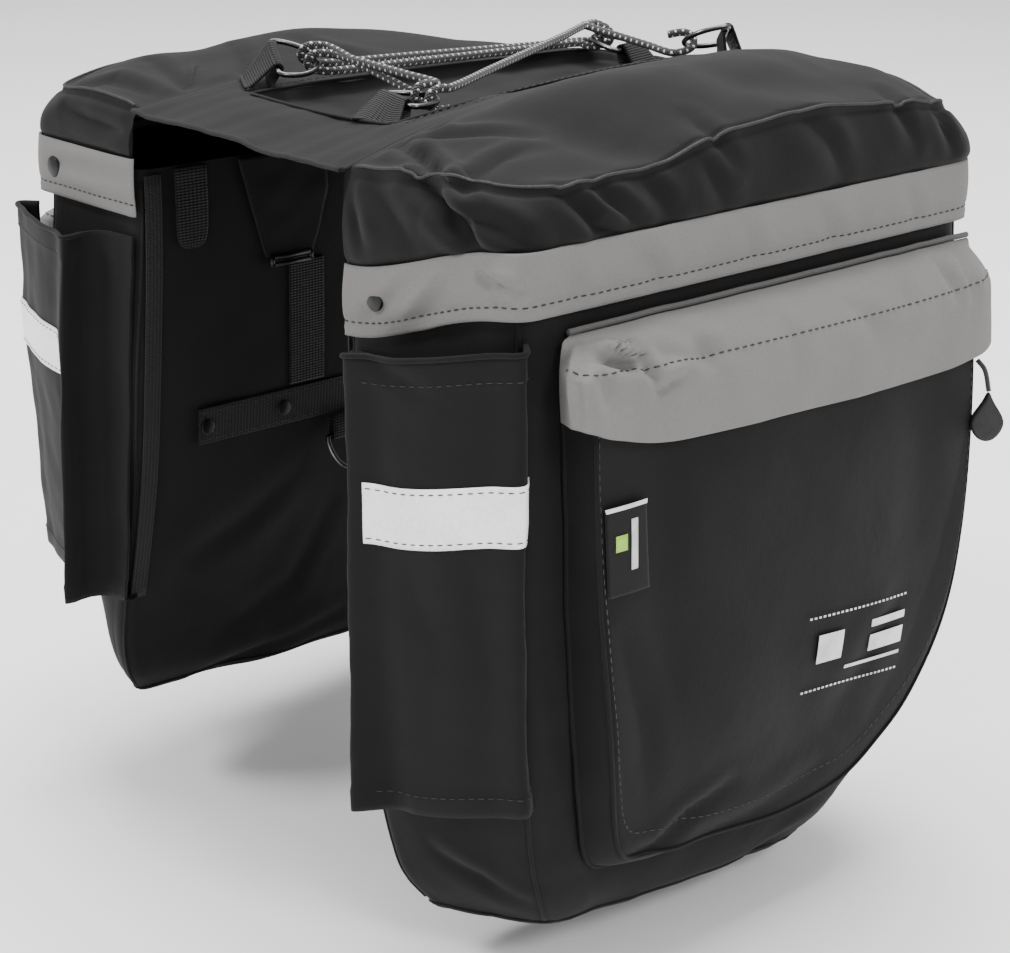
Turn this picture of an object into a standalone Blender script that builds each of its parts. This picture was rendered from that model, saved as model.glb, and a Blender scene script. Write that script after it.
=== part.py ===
"""Double bicycle pannier: two soft bags joined by a fabric bridge that lies over the rear rack.

Frame: +Z up, +Y forward along the bicycle, +X to its right. The origin is on the rack deck,
under the middle of the bridge. Lengths are metres.
"""
import math
import bpy
import bmesh
import numpy as np
from mathutils import Matrix, Vector

# Main sizes
RACK_HALF = 0.0863
BAG_DEEP = 0.118
BAG_LONG = 0.334
BAG_TALL = 0.352
REAR_Y = -0.174
CLOTH = 0.0018
WALL_BULGE = 0.0020
FRONT_BULGE = 0.0060
FIT = 0.0006
SEAM_GAP = 0.0003
BINDING_THICK = 0.0010
TAG_THICK = 0.0010

# Lids, bridge and skirt
LID_RISE = 0.045
LID_OVERHANG = 0.0012
BAND_TALL = 0.031
BAND_SWELL = 0.0015
BAND_TOP = -0.0200
BODY_TOP = -0.0260
HINGE_LIP = 0.0060
WINDOW_DROP = 0.0055
WINDOW_HALF = 0.057
WINDOW_REAR = -0.120
WINDOW_FRONT = 0.1475
DECK_Z = 0.0

# Pockets
BOTTLE_OUT = 0.027
BOTTLE_TALL = 0.232
BOTTLE_TOP = -0.062
REFLECTOR_TALL = 0.030
REFLECTOR_DROP = 0.062
REFLECTOR_THICK = 0.0008
POCKET_OUT = 0.020
POCKET_SWELL = 0.007
POCKET_TOP = -0.063
POCKET_MOUTH = -0.080
POCKET_TALL = 0.268
HOOD_TALL = 0.054
HOOD_OUT = 0.027
PIPING_R = 0.0017

# Hardware
WEB_WIDE = 0.025
WEB_THICK = 0.0014
RING_WIRE = 0.0015
RING_WIDE = 0.030
RING_TALL = 0.024
BUNGEE_R = 0.0022
RIVET_R = 0.0058
RIVET_OUT = 0.0016
PULLER_LONG = 0.027
PULLER_WIDE = 0.019
PULLER_THICK = 0.005
PULLER_TURN = 40
PULLER_SIDES = 14
PULL_CORD_R = 0.0013

# Each bag hangs a little differently: tall scales its height, droop lowers its inner rear corner,
# sag lowers its belly; seam and trim are the gaps under its outer pocket and its binding
SIDES = {
    "right": {"sign": 1, "tall": 1.0, "droop": 0.024, "sag": 0.016, "seam": 0.0011, "trim": 0.0003},
    "left": {"sign": -1, "tall": 0.895, "droop": 0.0, "sag": 0.006, "seam": 0.0018, "trim": 0.0006},
}

# Bag sections from the top down. down is a share of the height, the others are shares of the
# bag's depth (inner, outer_rear, outer) and of its length (rear_in, rear_out, front)
SECTION_COLUMNS = ("down", "inner", "outer_rear", "outer", "rear_in", "rear_out", "front", "round")
BAG_SECTIONS = {
    "right": (
        (0.00, 0.00, 0.98, 0.98, 0.000, 0.010, 0.995, 0.16),
        (0.10, 0.00, 0.98, 0.98, 0.000, 0.010, 0.995, 0.15),
        (0.33, 0.02, 1.01, 1.02, -0.004, 0.010, 1.000, 0.14),
        (0.56, 0.07, 1.01, 1.03, -0.008, 0.014, 0.995, 0.14),
        (0.76, 0.14, 1.00, 1.02, -0.010, 0.028, 0.950, 0.17),
        (0.87, 0.20, 0.97, 1.00, -0.008, 0.052, 0.850, 0.20),
        (0.94, 0.26, 0.93, 0.96, 0.002, 0.085, 0.775, 0.24),
        (0.985, 0.33, 0.86, 0.88, 0.030, 0.120, 0.720, 0.26),
    ),
    "left": (
        (0.00, 0.00, 0.84, 0.98, 0.000, 0.006, 0.995, 0.18),
        (0.10, 0.00, 0.845, 0.98, 0.000, 0.006, 0.995, 0.17),
        (0.33, 0.04, 0.97, 1.02, -0.012, 0.010, 1.000, 0.16),
        (0.56, 0.10, 0.95, 1.02, -0.016, 0.030, 0.995, 0.18),
        (0.76, 0.20, 0.88, 0.99, -0.014, 0.050, 0.950, 0.24),
        (0.87, 0.26, 0.78, 0.94, -0.008, 0.070, 0.850, 0.26),
        (0.94, 0.28, 0.66, 0.86, 0.004, 0.085, 0.775, 0.26),
        (0.985, 0.34, 0.54, 0.74, 0.030, 0.110, 0.720, 0.26),
    ),
}

# Height of the top fabric as shares of the lid rise: a row per station along the bag,
# a column per station across, from the left outer edge to the right outer edge
TOP_ACROSS = (-1.00, -0.72, -0.38, 0.00, 0.30, 0.66, 1.00)
TOP_ROWS = (
    (0.00, (-0.06, 0.18, 0.14, 0.09, 0.02, 0.08, 0.16)),
    (0.16, (0.12, 0.50, 0.30, 0.22, 0.26, 0.46, 0.10)),
    (0.40, (0.16, 0.52, 0.32, 0.24, 0.44, 0.82, 0.32)),
    (0.68, (0.08, 0.40, 0.28, 0.26, 0.54, 0.82, 0.42)),
    (0.90, (-0.06, 0.16, 0.22, 0.26, 0.46, 0.62, 0.26)),
    (1.00, (-0.24, -0.08, 0.08, 0.12, 0.18, 0.24, -0.10)),
)

# Soft folds and swells of the lids: the side, the middle across (share of the half width) and
# along, the heading in degrees from the long axis, then width, length and height in lid rises
FOLD_COLUMNS = ("side", "across", "along", "heading", "wide", "long", "rise")
LID_FOLDS = (
    ("right", 0.80, 0.24, 62, 0.42, 1.10, -0.15),
    ("right", 0.74, 0.40, 30, 0.50, 1.60, 0.09),
    ("right", 0.84, 0.62, 12, 0.40, 1.50, -0.08),
    ("right", 0.72, 0.84, -35, 0.45, 1.20, -0.10),
    ("left", 0.66, 0.22, -50, 0.45, 1.20, -0.12),
    ("left", 0.74, 0.48, -10, 0.50, 1.80, 0.08),
    ("left", 0.70, 0.80, 40, 0.45, 1.20, -0.09),
)

# Folds of the outer pocket's panel: the middle along the bag and down the pocket, then half
# width, half height and depth as shares of the pocket's reach
POCKET_FOLDS = (
    (0.20, 0.30, 0.05, 0.34, -0.10),
    (0.34, 0.72, 0.10, 0.16, 0.12),
    (0.62, 0.84, 0.14, 0.12, -0.14),
    (0.78, 0.34, 0.07, 0.36, -0.10),
)

# Hood edge: share of the length, share of the hood's reach, share of the hood's height
HOOD_ROWS = (
    (0.066, 0.10, 0.70),
    (0.052, 0.55, 0.68),
    (0.062, 0.95, 0.70),
    (0.105, 1.00, 0.80),
    (0.220, 1.00, 0.95),
    (0.450, 1.08, 1.00),
    (0.700, 1.08, 1.04),
    (0.880, 1.00, 1.02),
    (0.950, 0.85, 0.98),
    (0.985, 0.50, 0.92),
    (0.975, 0.10, 0.88),
)

# Outer pocket edge from its top rear corner down, round the bottom and up to the top front
# corner: share of the bag's length at the seam and at the panel, share of the pocket's height
POCKET_ROWS = (
    (0.085, 0.090, 0.00),
    (0.088, 0.090, 0.30),
    (0.098, 0.108, 0.55),
    (0.120, 0.138, 0.80),
    (0.150, 0.172, 0.96),
    (0.215, 0.235, 1.00),
    (0.370, 0.370, 1.02),
    (0.530, 0.520, 1.02),
    (0.680, 0.660, 0.99),
    (0.780, 0.750, 0.92),
    (0.850, 0.820, 0.84),
    (0.900, 0.880, 0.70),
    (0.928, 0.910, 0.50),
    (0.938, 0.918, 0.25),
    (0.938, 0.915, 0.00),
)

# The four loops on top. Base and bar centres as shares of the rack's half width and of the bag's
# length, the bar's height above the fabric as a share of the lid rise, then directions in degrees
LOOP_COLUMNS = ("base_x", "base_y", "bar_x", "bar_y", "bar_up", "base_turn", "bar_turn", "bar_pitch",
                "ring_turn", "ring_pitch")
LOOP_ROWS = {
    "1": (-0.834, 0.204, -0.765, 0.225, 0.33, 150, 153, 28, 75, -4),
    "2": (0.440, 0.186, 0.348, 0.234, 0.29, 20, -3, -5, 108, 0),
    "3": (-0.197, 0.913, -0.301, 0.910, 0.27, 100, 105, 0, 195, 12),
    "4": (0.336, 0.994, 0.348, 0.970, 0.38, -35, -38, 28, 236, -8),
}

# Height of each loop's sewn feet above the bridge
LOOP_FOOT = {"1": 0.0009, "2": 0.0018, "3": 0.0018, "4": 0.0018}

# The bungee's route: rings in order, with the place along the ring's bar in cord widths
BUNGEE_ROUTE = (("4", 0.0), ("3", -1.3), ("1", 0.0), ("2", -1.3), ("1", 1.5), ("3", 1.3), ("2", 1.3))

# Fittings on the inner wall: each row is a share of the bag's length and of its height
STRAP_ROWS = (
    (0.065, 0.125, 0.005),
    (0.065, 0.125, 0.090),
    (0.067, 0.123, 0.130),
    (0.078, 0.112, 0.146),
)
FLAP_ROWS = (
    (0.190, 0.370, 0.005),
    (0.210, 0.370, 0.080),
    (0.235, 0.350, 0.160),
    (0.245, 0.340, 0.188),
)
WEB_ROWS = (
    (0.292, 0.364, 0.205),
    (0.296, 0.368, 0.320),
    (0.300, 0.372, 0.438),
)
STRIP_ROWS = (
    (0.110, 0.460, 0.445),
    (0.110, 0.460, 0.478),
    (0.110, 0.460, 0.512),
)
BINDING_ROWS = (
    (0.006, 0.036, 0.010),
    (0.004, 0.034, 0.200),
    (0.000, 0.030, 0.400),
    (-0.004, 0.026, 0.600),
    (-0.004, 0.026, 0.780),
)
TAG_ROWS = (
    (0.094, 0.170, 0.225),
    (0.096, 0.172, 0.305),
    (0.100, 0.176, 0.390),
)

# Finishes: base colour, roughness, metallic
FINISHES = {
    "black_cloth": ((0.016, 0.016, 0.017), 0.85, 0.0),
    "grey_cloth": ((0.270, 0.265, 0.260), 0.80, 0.0),
    "black_web": ((0.010, 0.010, 0.010), 0.80, 0.0),
    "black_plastic": ((0.014, 0.014, 0.014), 0.45, 0.0),
    "reflective": ((0.800, 0.800, 0.800), 0.45, 0.0),
    "dark_metal": ((0.080, 0.080, 0.085), 0.35, 1.0),
    "black_rubber": ((0.018, 0.018, 0.018), 0.55, 0.0),
    "bungee_cord": ((0.050, 0.050, 0.050), 0.70, 0.0),
}


def clear_scene():
    for old in list(bpy.data.objects):
        bpy.data.objects.remove(old, do_unlink=True)
    made = bpy.data.collections.new("bicycle_pannier")
    bpy.context.scene.collection.children.link(made)
    return made


def make_material(name):
    colour, rough, metal = FINISHES[name]
    mat = bpy.data.materials.new(name)
    mat.use_nodes = True
    shader = mat.node_tree.nodes["Principled BSDF"]
    shader.inputs["Base Color"].default_value = (*colour, 1.0)
    shader.inputs["Roughness"].default_value = rough
    shader.inputs["Metallic"].default_value = metal
    return mat


def smooth(share):
    share = min(max(share, 0.0), 1.0)
    return share * share * (3.0 - 2.0 * share)


def spline_weights(stations, at):
    """Catmull-Rom weights of each station at a place between them."""
    at = min(max(at, stations[0]), stations[-1])
    last = len(stations) - 2
    i = min(max(int(np.searchsorted(stations, at, side="right")) - 1, 0), last)
    span = stations[i + 1] - stations[i]
    t = (at - stations[i]) / span
    weights = np.zeros(len(stations))
    weights[i] += 2 * t**3 - 3 * t**2 + 1
    weights[i + 1] += 3 * t**2 - 2 * t**3
    for end, slope in ((i, t**3 - 2 * t**2 + t), (i + 1, t**3 - t**2)):
        before = max(end - 1, 0)
        after = min(end + 1, len(stations) - 1)
        scale = slope * span / (stations[after] - stations[before])
        weights[after] += scale
        weights[before] -= scale
    return weights


def section(side, down):
    """The bag's section row at a share of its height, as a dictionary."""
    rows = np.array(BAG_SECTIONS[side])
    row = spline_weights(rows[:, 0], down) @ rows
    return dict(zip(SECTION_COLUMNS, row))


def lid_fold(x, y):
    """Rise of the lids' folds at one place."""
    total = 0.0
    for values in LID_FOLDS:
        fold = dict(zip(FOLD_COLUMNS, values))
        middle = SIDES[fold["side"]]["sign"] * fold["across"] * (RACK_HALF + BAG_DEEP)
        run = Vector((x - middle, y - REAR_Y - BAG_LONG * fold["along"])) / LID_RISE
        angle = math.radians(fold["heading"])
        along = run.x * math.sin(angle) + run.y * math.cos(angle)
        across = run.x * math.cos(angle) - run.y * math.sin(angle)
        total += fold["rise"] * math.exp(-(across / fold["wide"])**2 - (along / fold["long"])**2)
    return total


def top_height(x, y):
    """Height of the top fabric, lids and bridge together."""
    stations = [row[0] for row in TOP_ROWS]
    shares = np.array([row[1] for row in TOP_ROWS])
    along = spline_weights(stations, (y - REAR_Y) / BAG_LONG)
    across = spline_weights(TOP_ACROSS, x / (RACK_HALF + BAG_DEEP))
    return LID_RISE * (float(along @ shares @ across) + lid_fold(x, y))


def window_height(x, y):
    """Height of the bridge: the top fabric with a sunk, flat window in its middle."""
    edge = 0.005
    inside = smooth((WINDOW_HALF - abs(x)) / edge)
    inside *= smooth((y - WINDOW_REAR) / edge) * smooth((WINDOW_FRONT - y) / edge)
    deck = DECK_Z + CLOTH
    sunk = deck + max(top_height(x, y) - WINDOW_DROP - deck, 0.0) * smooth((abs(x) / WINDOW_HALF))
    return top_height(x, y) * (1 - inside) + sunk * inside


def drooped(side, depth, y):
    """How far a bag's inner rear corner hangs down, by depth from the inner wall."""
    across = smooth(1.0 - depth / BAG_DEEP)
    along = smooth(1.0 - (y - REAR_Y) / (0.45 * BAG_LONG))
    return SIDES[side]["droop"] * across * along


def rounded_loop(corners, radii, bulges, per_side, per_corner):
    """Closed loop of (x, y) points through four rounded corners, counted anticlockwise."""
    pts = []
    for i in range(4):
        here = np.array(corners[i])
        to_last = np.array(corners[i - 1]) - here
        to_next = np.array(corners[(i + 1) % 4]) - here
        reach_in = min(radii[i], 0.45 * np.linalg.norm(to_last))
        reach_out = min(radii[i], 0.45 * np.linalg.norm(to_next))
        start = here + to_last / np.linalg.norm(to_last) * reach_in
        stop = here + to_next / np.linalg.norm(to_next) * reach_out
        for k in range(per_corner + 1):
            t = k / per_corner
            pts.append((1 - t)**2 * start + 2 * t * (1 - t) * here + t * t * stop)
        following = np.array(corners[(i + 1) % 4])
        reach = min(radii[(i + 1) % 4], 0.45 * np.linalg.norm(to_next))
        far = following - to_next / np.linalg.norm(to_next) * reach
        run = far - stop
        normal = np.array((run[1], -run[0])) / np.linalg.norm(run)
        for k in range(1, per_side[i]):
            t = k / per_side[i]
            pts.append(stop + run * t + normal * bulges[i] * 4 * t * (1 - t))
    return pts


def bag_loop(side, down, per_side=(3, 6, 3, 5), per_corner=3):
    """One level of a bag, on the +X side."""
    row = section(side, down)
    inner = RACK_HALF + BAG_DEEP * row["inner"]
    outer = RACK_HALF + BAG_DEEP * row["outer"]
    outer_rear = RACK_HALF + BAG_DEEP * row["outer_rear"]
    rear_in = REAR_Y + BAG_LONG * row["rear_in"]
    rear_out = REAR_Y + BAG_LONG * row["rear_out"]
    front = REAR_Y + BAG_LONG * row["front"]
    corners = ((inner, rear_in), (outer_rear, rear_out), (outer, front), (inner, front))
    radius = BAG_DEEP * row["round"]
    radii = (radius * 0.5, radius, radius * 1.5, radius)
    swell = smooth(down * 1.6)
    bulges = (WALL_BULGE * swell, WALL_BULGE * swell, FRONT_BULGE * swell, 0.0)
    return rounded_loop(corners, radii, bulges, per_side, per_corner)


def level(side, down, x, y):
    """Height of a bag's section at one place, with its droop and the sag of its belly."""
    tall = BAG_TALL * SIDES[side]["tall"]
    along = (y - REAR_Y) / BAG_LONG
    down = min(max(down, 0.0), 1.0)
    belly = SIDES[side]["sag"] * smooth((down - 0.6) / 0.4) * math.sin(math.pi * min(max(along, 0.0), 1.0))
    hang = drooped(side, x - RACK_HALF, y) * (1.0 - 0.8 * smooth(down))
    return BODY_TOP - tall * down - hang - belly


def place(side, point):
    return (point[0] * SIDES[side]["sign"], point[1], point[2])


def down_at(side, depth, y, z):
    """Share of a bag's height at one place: the inverse of level."""
    tall = BAG_TALL * SIDES[side]["tall"]
    down = (BODY_TOP - z) / tall
    for _ in range(6):
        down += (level(side, down, RACK_HALF + depth, y) - z) / tall
        down = min(max(down, 0.0), 0.98)
    return down


def inner_x(side, y, z):
    """Distance of a bag's inner wall from the middle plane at one place."""
    return RACK_HALF + BAG_DEEP * section(side, down_at(side, 0.0, y, z))["inner"]


def rear_y(side, depth, z):
    """Rear face of a bag: depth is a share of the bag's depth from the inner wall."""
    row = section(side, down_at(side, BAG_DEEP * depth, REAR_Y, z))
    return REAR_Y + BAG_LONG * (row["rear_in"] + (row["rear_out"] - row["rear_in"]) * depth)


def outer_x(side, z, along):
    """Outer face of a bag at a height and a share of its length."""
    down = down_at(side, BAG_DEEP, REAR_Y + BAG_LONG * along, z)
    row = section(side, down)
    share = min(max((along - row["rear_out"]) / (row["front"] - row["rear_out"]), 0.0), 1.0)
    face = row["outer_rear"] + (row["outer"] - row["outer_rear"]) * share
    return RACK_HALF + BAG_DEEP * face + WALL_BULGE * smooth(down * 1.6) * 4 * share * (1 - share)


def finish_object(name, bm, material, parts, sign=1):
    if sign < 0:
        bmesh.ops.reverse_faces(bm, faces=bm.faces)
    mesh = bpy.data.meshes.new(name)
    bm.to_mesh(mesh)
    bm.free()
    obj = bpy.data.objects.new(name, mesh)
    obj.data.materials.append(MATERIALS[material])
    parts.objects.link(obj)
    mesh.shade_smooth()
    mesh.set_sharp_from_angle(angle=math.radians(40))
    return obj


def thicken(obj, thickness, offset=-1.0):
    shell = obj.modifiers.new("cloth", "SOLIDIFY")
    shell.thickness = thickness
    shell.offset = offset
    shell.use_even_offset = False
    return obj


def loft(name, rings, material, parts, sign=1, closed=True, cap=False):
    """Faces between rows of points. The faces point out when each row runs anticlockwise
    seen from the last row's side of the first; a cap closes the last row with a fan."""
    bm = bmesh.new()
    verts = [[bm.verts.new(p) for p in ring] for ring in rings]
    count = len(rings[0])
    spans = count if closed else count - 1
    for upper, lower in zip(verts, verts[1:]):
        for i in range(spans):
            j = (i + 1) % count
            bm.faces.new((upper[i], lower[i], lower[j], upper[j]))
    if cap:
        centre = bm.verts.new(np.mean([v.co[:] for v in verts[-1]], axis=0))
        for i in range(count):
            bm.faces.new((verts[-1][i], centre, verts[-1][(i + 1) % count]))
    bmesh.ops.remove_doubles(bm, verts=bm.verts, dist=0.00002)
    return finish_object(name, bm, material, parts, sign)


def make_bag(side, parts):
    sign = SIDES[side]["sign"]
    rings = []
    for down in (0.0, 0.12, 0.33, 0.56, 0.74, 0.86, 0.94, 0.985):
        loop = bag_loop(side, down)
        ring = []
        for x, y in loop:
            z = level(side, down, x, y)
            if down == 0.0:
                hinge = smooth((RACK_HALF + 0.006 - x) / 0.004)
                z += (top_height(sign * x, y) - HINGE_LIP - z) * hinge
            ring.append((x, y, z))
        rings.append(ring)
    last = np.array(rings[-1])
    middle = last.mean(axis=0)
    for share in (0.88, 0.50):
        ring = middle + (last - middle) * share
        ring[:, 2] -= BAG_TALL * 0.012 * (1 - share)**0.7
        rings.append([tuple(p) for p in ring])
    placed = [[place(side, p) for p in ring] for ring in rings]
    return thicken(loft("bag_" + side, placed, "black_cloth", parts, sign, cap=True), CLOTH)


def lid_loop(side, outset, per_side=(5, 8, 5, 6)):
    """Plan of a lid's edge on the +X side."""
    row = section(side, 0.0)
    outer = RACK_HALF + BAG_DEEP * row["outer"] + outset
    outer_rear = RACK_HALF + BAG_DEEP * row["outer_rear"] + outset
    rear = REAR_Y + BAG_LONG * row["rear_in"] - outset
    rear_out = REAR_Y + BAG_LONG * row["rear_out"] - outset
    front = REAR_Y + BAG_LONG * row["front"] + outset
    corners = ((RACK_HALF, rear), (outer_rear, rear_out), (outer, front), (RACK_HALF, front))
    return rounded_loop(corners, (0.004, 0.016, 0.024, 0.004), (0.0, 0.0, 0.0, 0.0), per_side, 2)


def band_edge(side, x, y):
    """Height of the skirt's top edge."""
    return BAND_TOP - drooped(side, x - RACK_HALF, y)


def make_lid(side, parts):
    sign = SIDES[side]["sign"]
    foot = lid_loop(side, LID_OVERHANG + CLOTH)
    head = lid_loop(side, LID_OVERHANG + CLOTH - 0.006)
    head = [(max(x, RACK_HALF), y) for x, y in head]
    rings = [[], [], []]
    for (fx, fy), (hx, hy) in zip(foot, head):
        seam = top_height(sign * hx, hy)
        on_hinge = smooth((RACK_HALF + 0.003 - fx) / 0.003)
        edge = band_edge(side, fx, fy)
        edge += (seam - HINGE_LIP * 0.6 - edge) * on_hinge
        rings[0].append((fx, fy, edge))
        rings[1].append((fx * 0.5 + hx * 0.5, fy * 0.5 + hy * 0.5, edge * 0.45 + seam * 0.55 - 0.001))
        rings[2].append((hx, hy, seam))
    plan = np.array(head)
    middle = plan.mean(axis=0)
    for share in (0.90, 0.64, 0.32):
        ring = []
        for x, y in middle + (plan - middle) * share:
            ring.append((x, y, top_height(sign * x, y)))
        rings.append(ring)
    placed = [[place(side, p) for p in ring] for ring in rings]
    return thicken(loft("lid_" + side, placed, "black_cloth", parts, -sign, cap=True), CLOTH)


def make_band(side, parts):
    """Grey skirt round the rear, outer and front sides of the lid."""
    sign = SIDES[side]["sign"]
    foot = lid_loop(side, LID_OVERHANG + CLOTH)
    path = [p for p in foot if p[0] > RACK_HALF + 0.0005]
    rows = []
    for share in (0.0, 0.5, 1.0):
        row = []
        for x, y in path:
            swell = BAND_SWELL * math.sin(math.pi * share)
            out = Vector((x - RACK_HALF - 0.5 * BAG_DEEP, y - REAR_Y - 0.5 * BAG_LONG)).normalized()
            top = band_edge(side, x, y) - FIT * 2
            tall = BAND_TALL + 0.15 * drooped(side, x - RACK_HALF, y)
            row.append((x + out.x * swell, y + out.y * swell, top - tall * share))
        rows.append([place(side, p) for p in row])
    return thicken(loft("lid_band_" + side, rows, "grey_cloth", parts, sign, closed=False), CLOTH)


def make_bridge(parts):
    half = RACK_HALF - FIT * 1.5
    rear = REAR_Y - LID_OVERHANG
    front = REAR_Y + BAG_LONG * 0.995 + LID_OVERHANG
    across = [-half, -half * 0.84, -WINDOW_HALF, -WINDOW_HALF + 0.005, -0.035, -0.012,
              0.012, 0.035, WINDOW_HALF - 0.005, WINDOW_HALF, half * 0.84, half]
    along = [rear, rear + 0.012, rear + 0.030, WINDOW_REAR, WINDOW_REAR + 0.005]
    along += [WINDOW_REAR + 0.005 + (WINDOW_FRONT - WINDOW_REAR - 0.010) * k / 6 for k in range(1, 7)]
    along += [WINDOW_FRONT, front]
    rows = []
    for y in along:
        narrow = 1.0 - 0.022 * smooth((y - 0.138) / 0.012)
        rows.append([(x * narrow, y, window_height(x, y)) for x in across])
    return thicken(loft("bridge_panel", rows, "black_cloth", parts, -1, closed=False), CLOTH)


def bottle_path(side, down):
    """Plan of the bottle pocket: outer edge, folded inner edge, return to the bag."""
    z = BOTTLE_TOP - BOTTLE_TALL * SIDES[side]["tall"] * down
    clear = CLOTH + SEAM_GAP
    outer = RACK_HALF + BAG_DEEP * (1.03 - 0.02 * down)
    fold = RACK_HALF + BAG_DEEP * 0.27
    base = RACK_HALF + BAG_DEEP * (0.04 + 0.12 * down)
    back_out = rear_y(side, 1.0, z) - clear
    back_in = rear_y(side, 0.0, z) - clear
    proud = BOTTLE_OUT
    path = [(outer, back_out)]
    for k in range(1, 6):
        t = k / 6
        bow = 0.004 * math.sin(math.pi * t)
        path.append((outer + (fold - outer) * t, back_out - proud * t - bow))
    path.append((fold + 0.002, back_in - proud))
    path.append((fold - 0.001, back_in - proud + 0.0035))
    path.append((fold + 0.001, back_in - proud * 0.5))
    path.append((fold - 0.003, back_in - 0.004))
    path.append((fold * 0.4 + base * 0.6, back_in - 0.001))
    path.append((base, back_in))
    return path, z


def bottle_sink(side, place_on_path, down):
    """How far the pocket hangs below its outer edge, by place from the outer edge to the return."""
    shape = smooth(place_on_path * 2.0) * 0.55
    shape += 0.42 * smooth(place_on_path * 2.0 - 1.0) * (1.0 - down)
    return SIDES[side]["droop"] * shape


def offset_line(path, off):
    """A line of (x, y) points moved sideways, to its right-hand side."""
    moved = []
    for i, (x, y) in enumerate(path):
        ahead = path[min(i + 1, len(path) - 1)]
        behind = path[max(i - 1, 0)]
        run = Vector((ahead[0] - behind[0], ahead[1] - behind[1])).normalized()
        moved.append((x - run.y * off, y + run.x * off))
    return moved


def bottle_row(side, down, off=0.0, keep=None):
    path, z = bottle_path(side, down)
    count = len(path) - 1
    line = offset_line(path, off)[:keep]
    return [place(side, (x, y, z - bottle_sink(side, i / count, down))) for i, (x, y) in enumerate(line)]


def make_bottle_pocket(side, parts):
    band = (REFLECTOR_DROP / BOTTLE_TALL, (REFLECTOR_DROP + REFLECTOR_TALL) / BOTTLE_TALL)
    rows = [bottle_row(side, down) for down in (0.0, band[0], band[1], 0.7, 1.0)]
    first, final = np.array(rows[-1][0]), np.array(rows[-1][-1])
    count = len(rows[-1]) - 1
    rows.append([tuple(first + (final - first) * i / count) for i in range(count + 1)])
    return thicken(loft("bottle_pocket_" + side, rows, "black_cloth", parts, -SIDES[side]["sign"],
                        closed=False), CLOTH)


def make_reflector(side, parts):
    """White strip on the front of the bottle pocket, from its outer edge to its fold."""
    rows = []
    for share in (0.0, 1.0):
        down = (REFLECTOR_DROP + REFLECTOR_TALL * share) / BOTTLE_TALL
        rows.append(bottle_row(side, down, SEAM_GAP * 1.5 + REFLECTOR_THICK, 7))
    return thicken(loft("reflector_" + side, rows, "reflective", parts, -SIDES[side]["sign"],
                        closed=False), REFLECTOR_THICK)


def pocket_edge(count):
    """The pocket's edge table read as a smooth line of count rows."""
    stations = np.linspace(0, 1, len(POCKET_ROWS))
    table = np.array(POCKET_ROWS)
    return [spline_weights(stations, t) @ table for t in np.linspace(0, 1, count)]


def panel_x(side, along, down):
    """Outer face of the pocket's panel at shares of the bag's length and the pocket's height."""
    z = POCKET_MOUTH - POCKET_TALL * SIDES[side]["tall"] * down
    out = POCKET_OUT * (1.0 - 0.25 * smooth((down - 0.6) / 0.4))
    half = 0.42 * (1.0 - 0.5 * max(down, 0.0)**3)
    across = max(1.0 - ((along - 0.52 + 0.1 * down) / half)**2, 0.0)
    fullness = math.sin(math.pi * min(max(0.12 + 0.85 * down, 0.0), 1.0))
    for middle, height, wide, tall, rise in POCKET_FOLDS:
        out += POCKET_OUT * rise * math.exp(-((along - middle) / wide)**2 - ((down - height) / tall)**2)
    return outer_x(side, z, along) + FIT + SEAM_GAP * 2 + CLOTH + out + POCKET_SWELL * across * fullness


def make_outer_pocket(side, parts):
    """Gusset out from the seam, then a panel drawn up to the pocket's mouth."""
    sign = SIDES[side]["sign"]
    tall = POCKET_TALL * SIDES[side]["tall"]
    edge = pocket_edge(17)
    seam, gusset, rim = [], [], []
    for base, panel, down in edge:
        z = POCKET_MOUTH - tall * down
        y0 = REAR_Y + BAG_LONG * base
        y1 = REAR_Y + BAG_LONG * panel
        wall = outer_x(side, z, base) + SIDES[side]["seam"]
        front = panel_x(side, panel, down) - 0.0012
        seam.append((wall, y0, z))
        gusset.append((wall * 0.3 + front * 0.7, y0 * 0.5 + y1 * 0.5, z + 0.004 * down))
        rim.append((front, y1, z + 0.008 * down))
    rows = [seam, gusset, rim]
    first, final = edge[0], edge[-1]
    for share in (0.08, 0.3, 0.6, 1.0):
        row = []
        for i, (_, panel, down) in enumerate(edge):
            t = i / (len(edge) - 1)
            mouth_run = final[1] - first[1]
            mouth = first[1] + mouth_run * 0.5 * (t + smooth((panel - first[1]) / mouth_run))
            along = panel + (mouth - panel) * share
            deep = down * (1 - share)
            row.append((panel_x(side, along, deep), REAR_Y + BAG_LONG * along,
                        POCKET_MOUTH - tall * deep + 0.008 * deep))
        rows.append(row)
    placed = [[place(side, p) for p in row] for row in rows]
    return thicken(loft("outer_pocket_" + side, placed, "black_cloth", parts, -sign,
                        closed=False), CLOTH)


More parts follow.
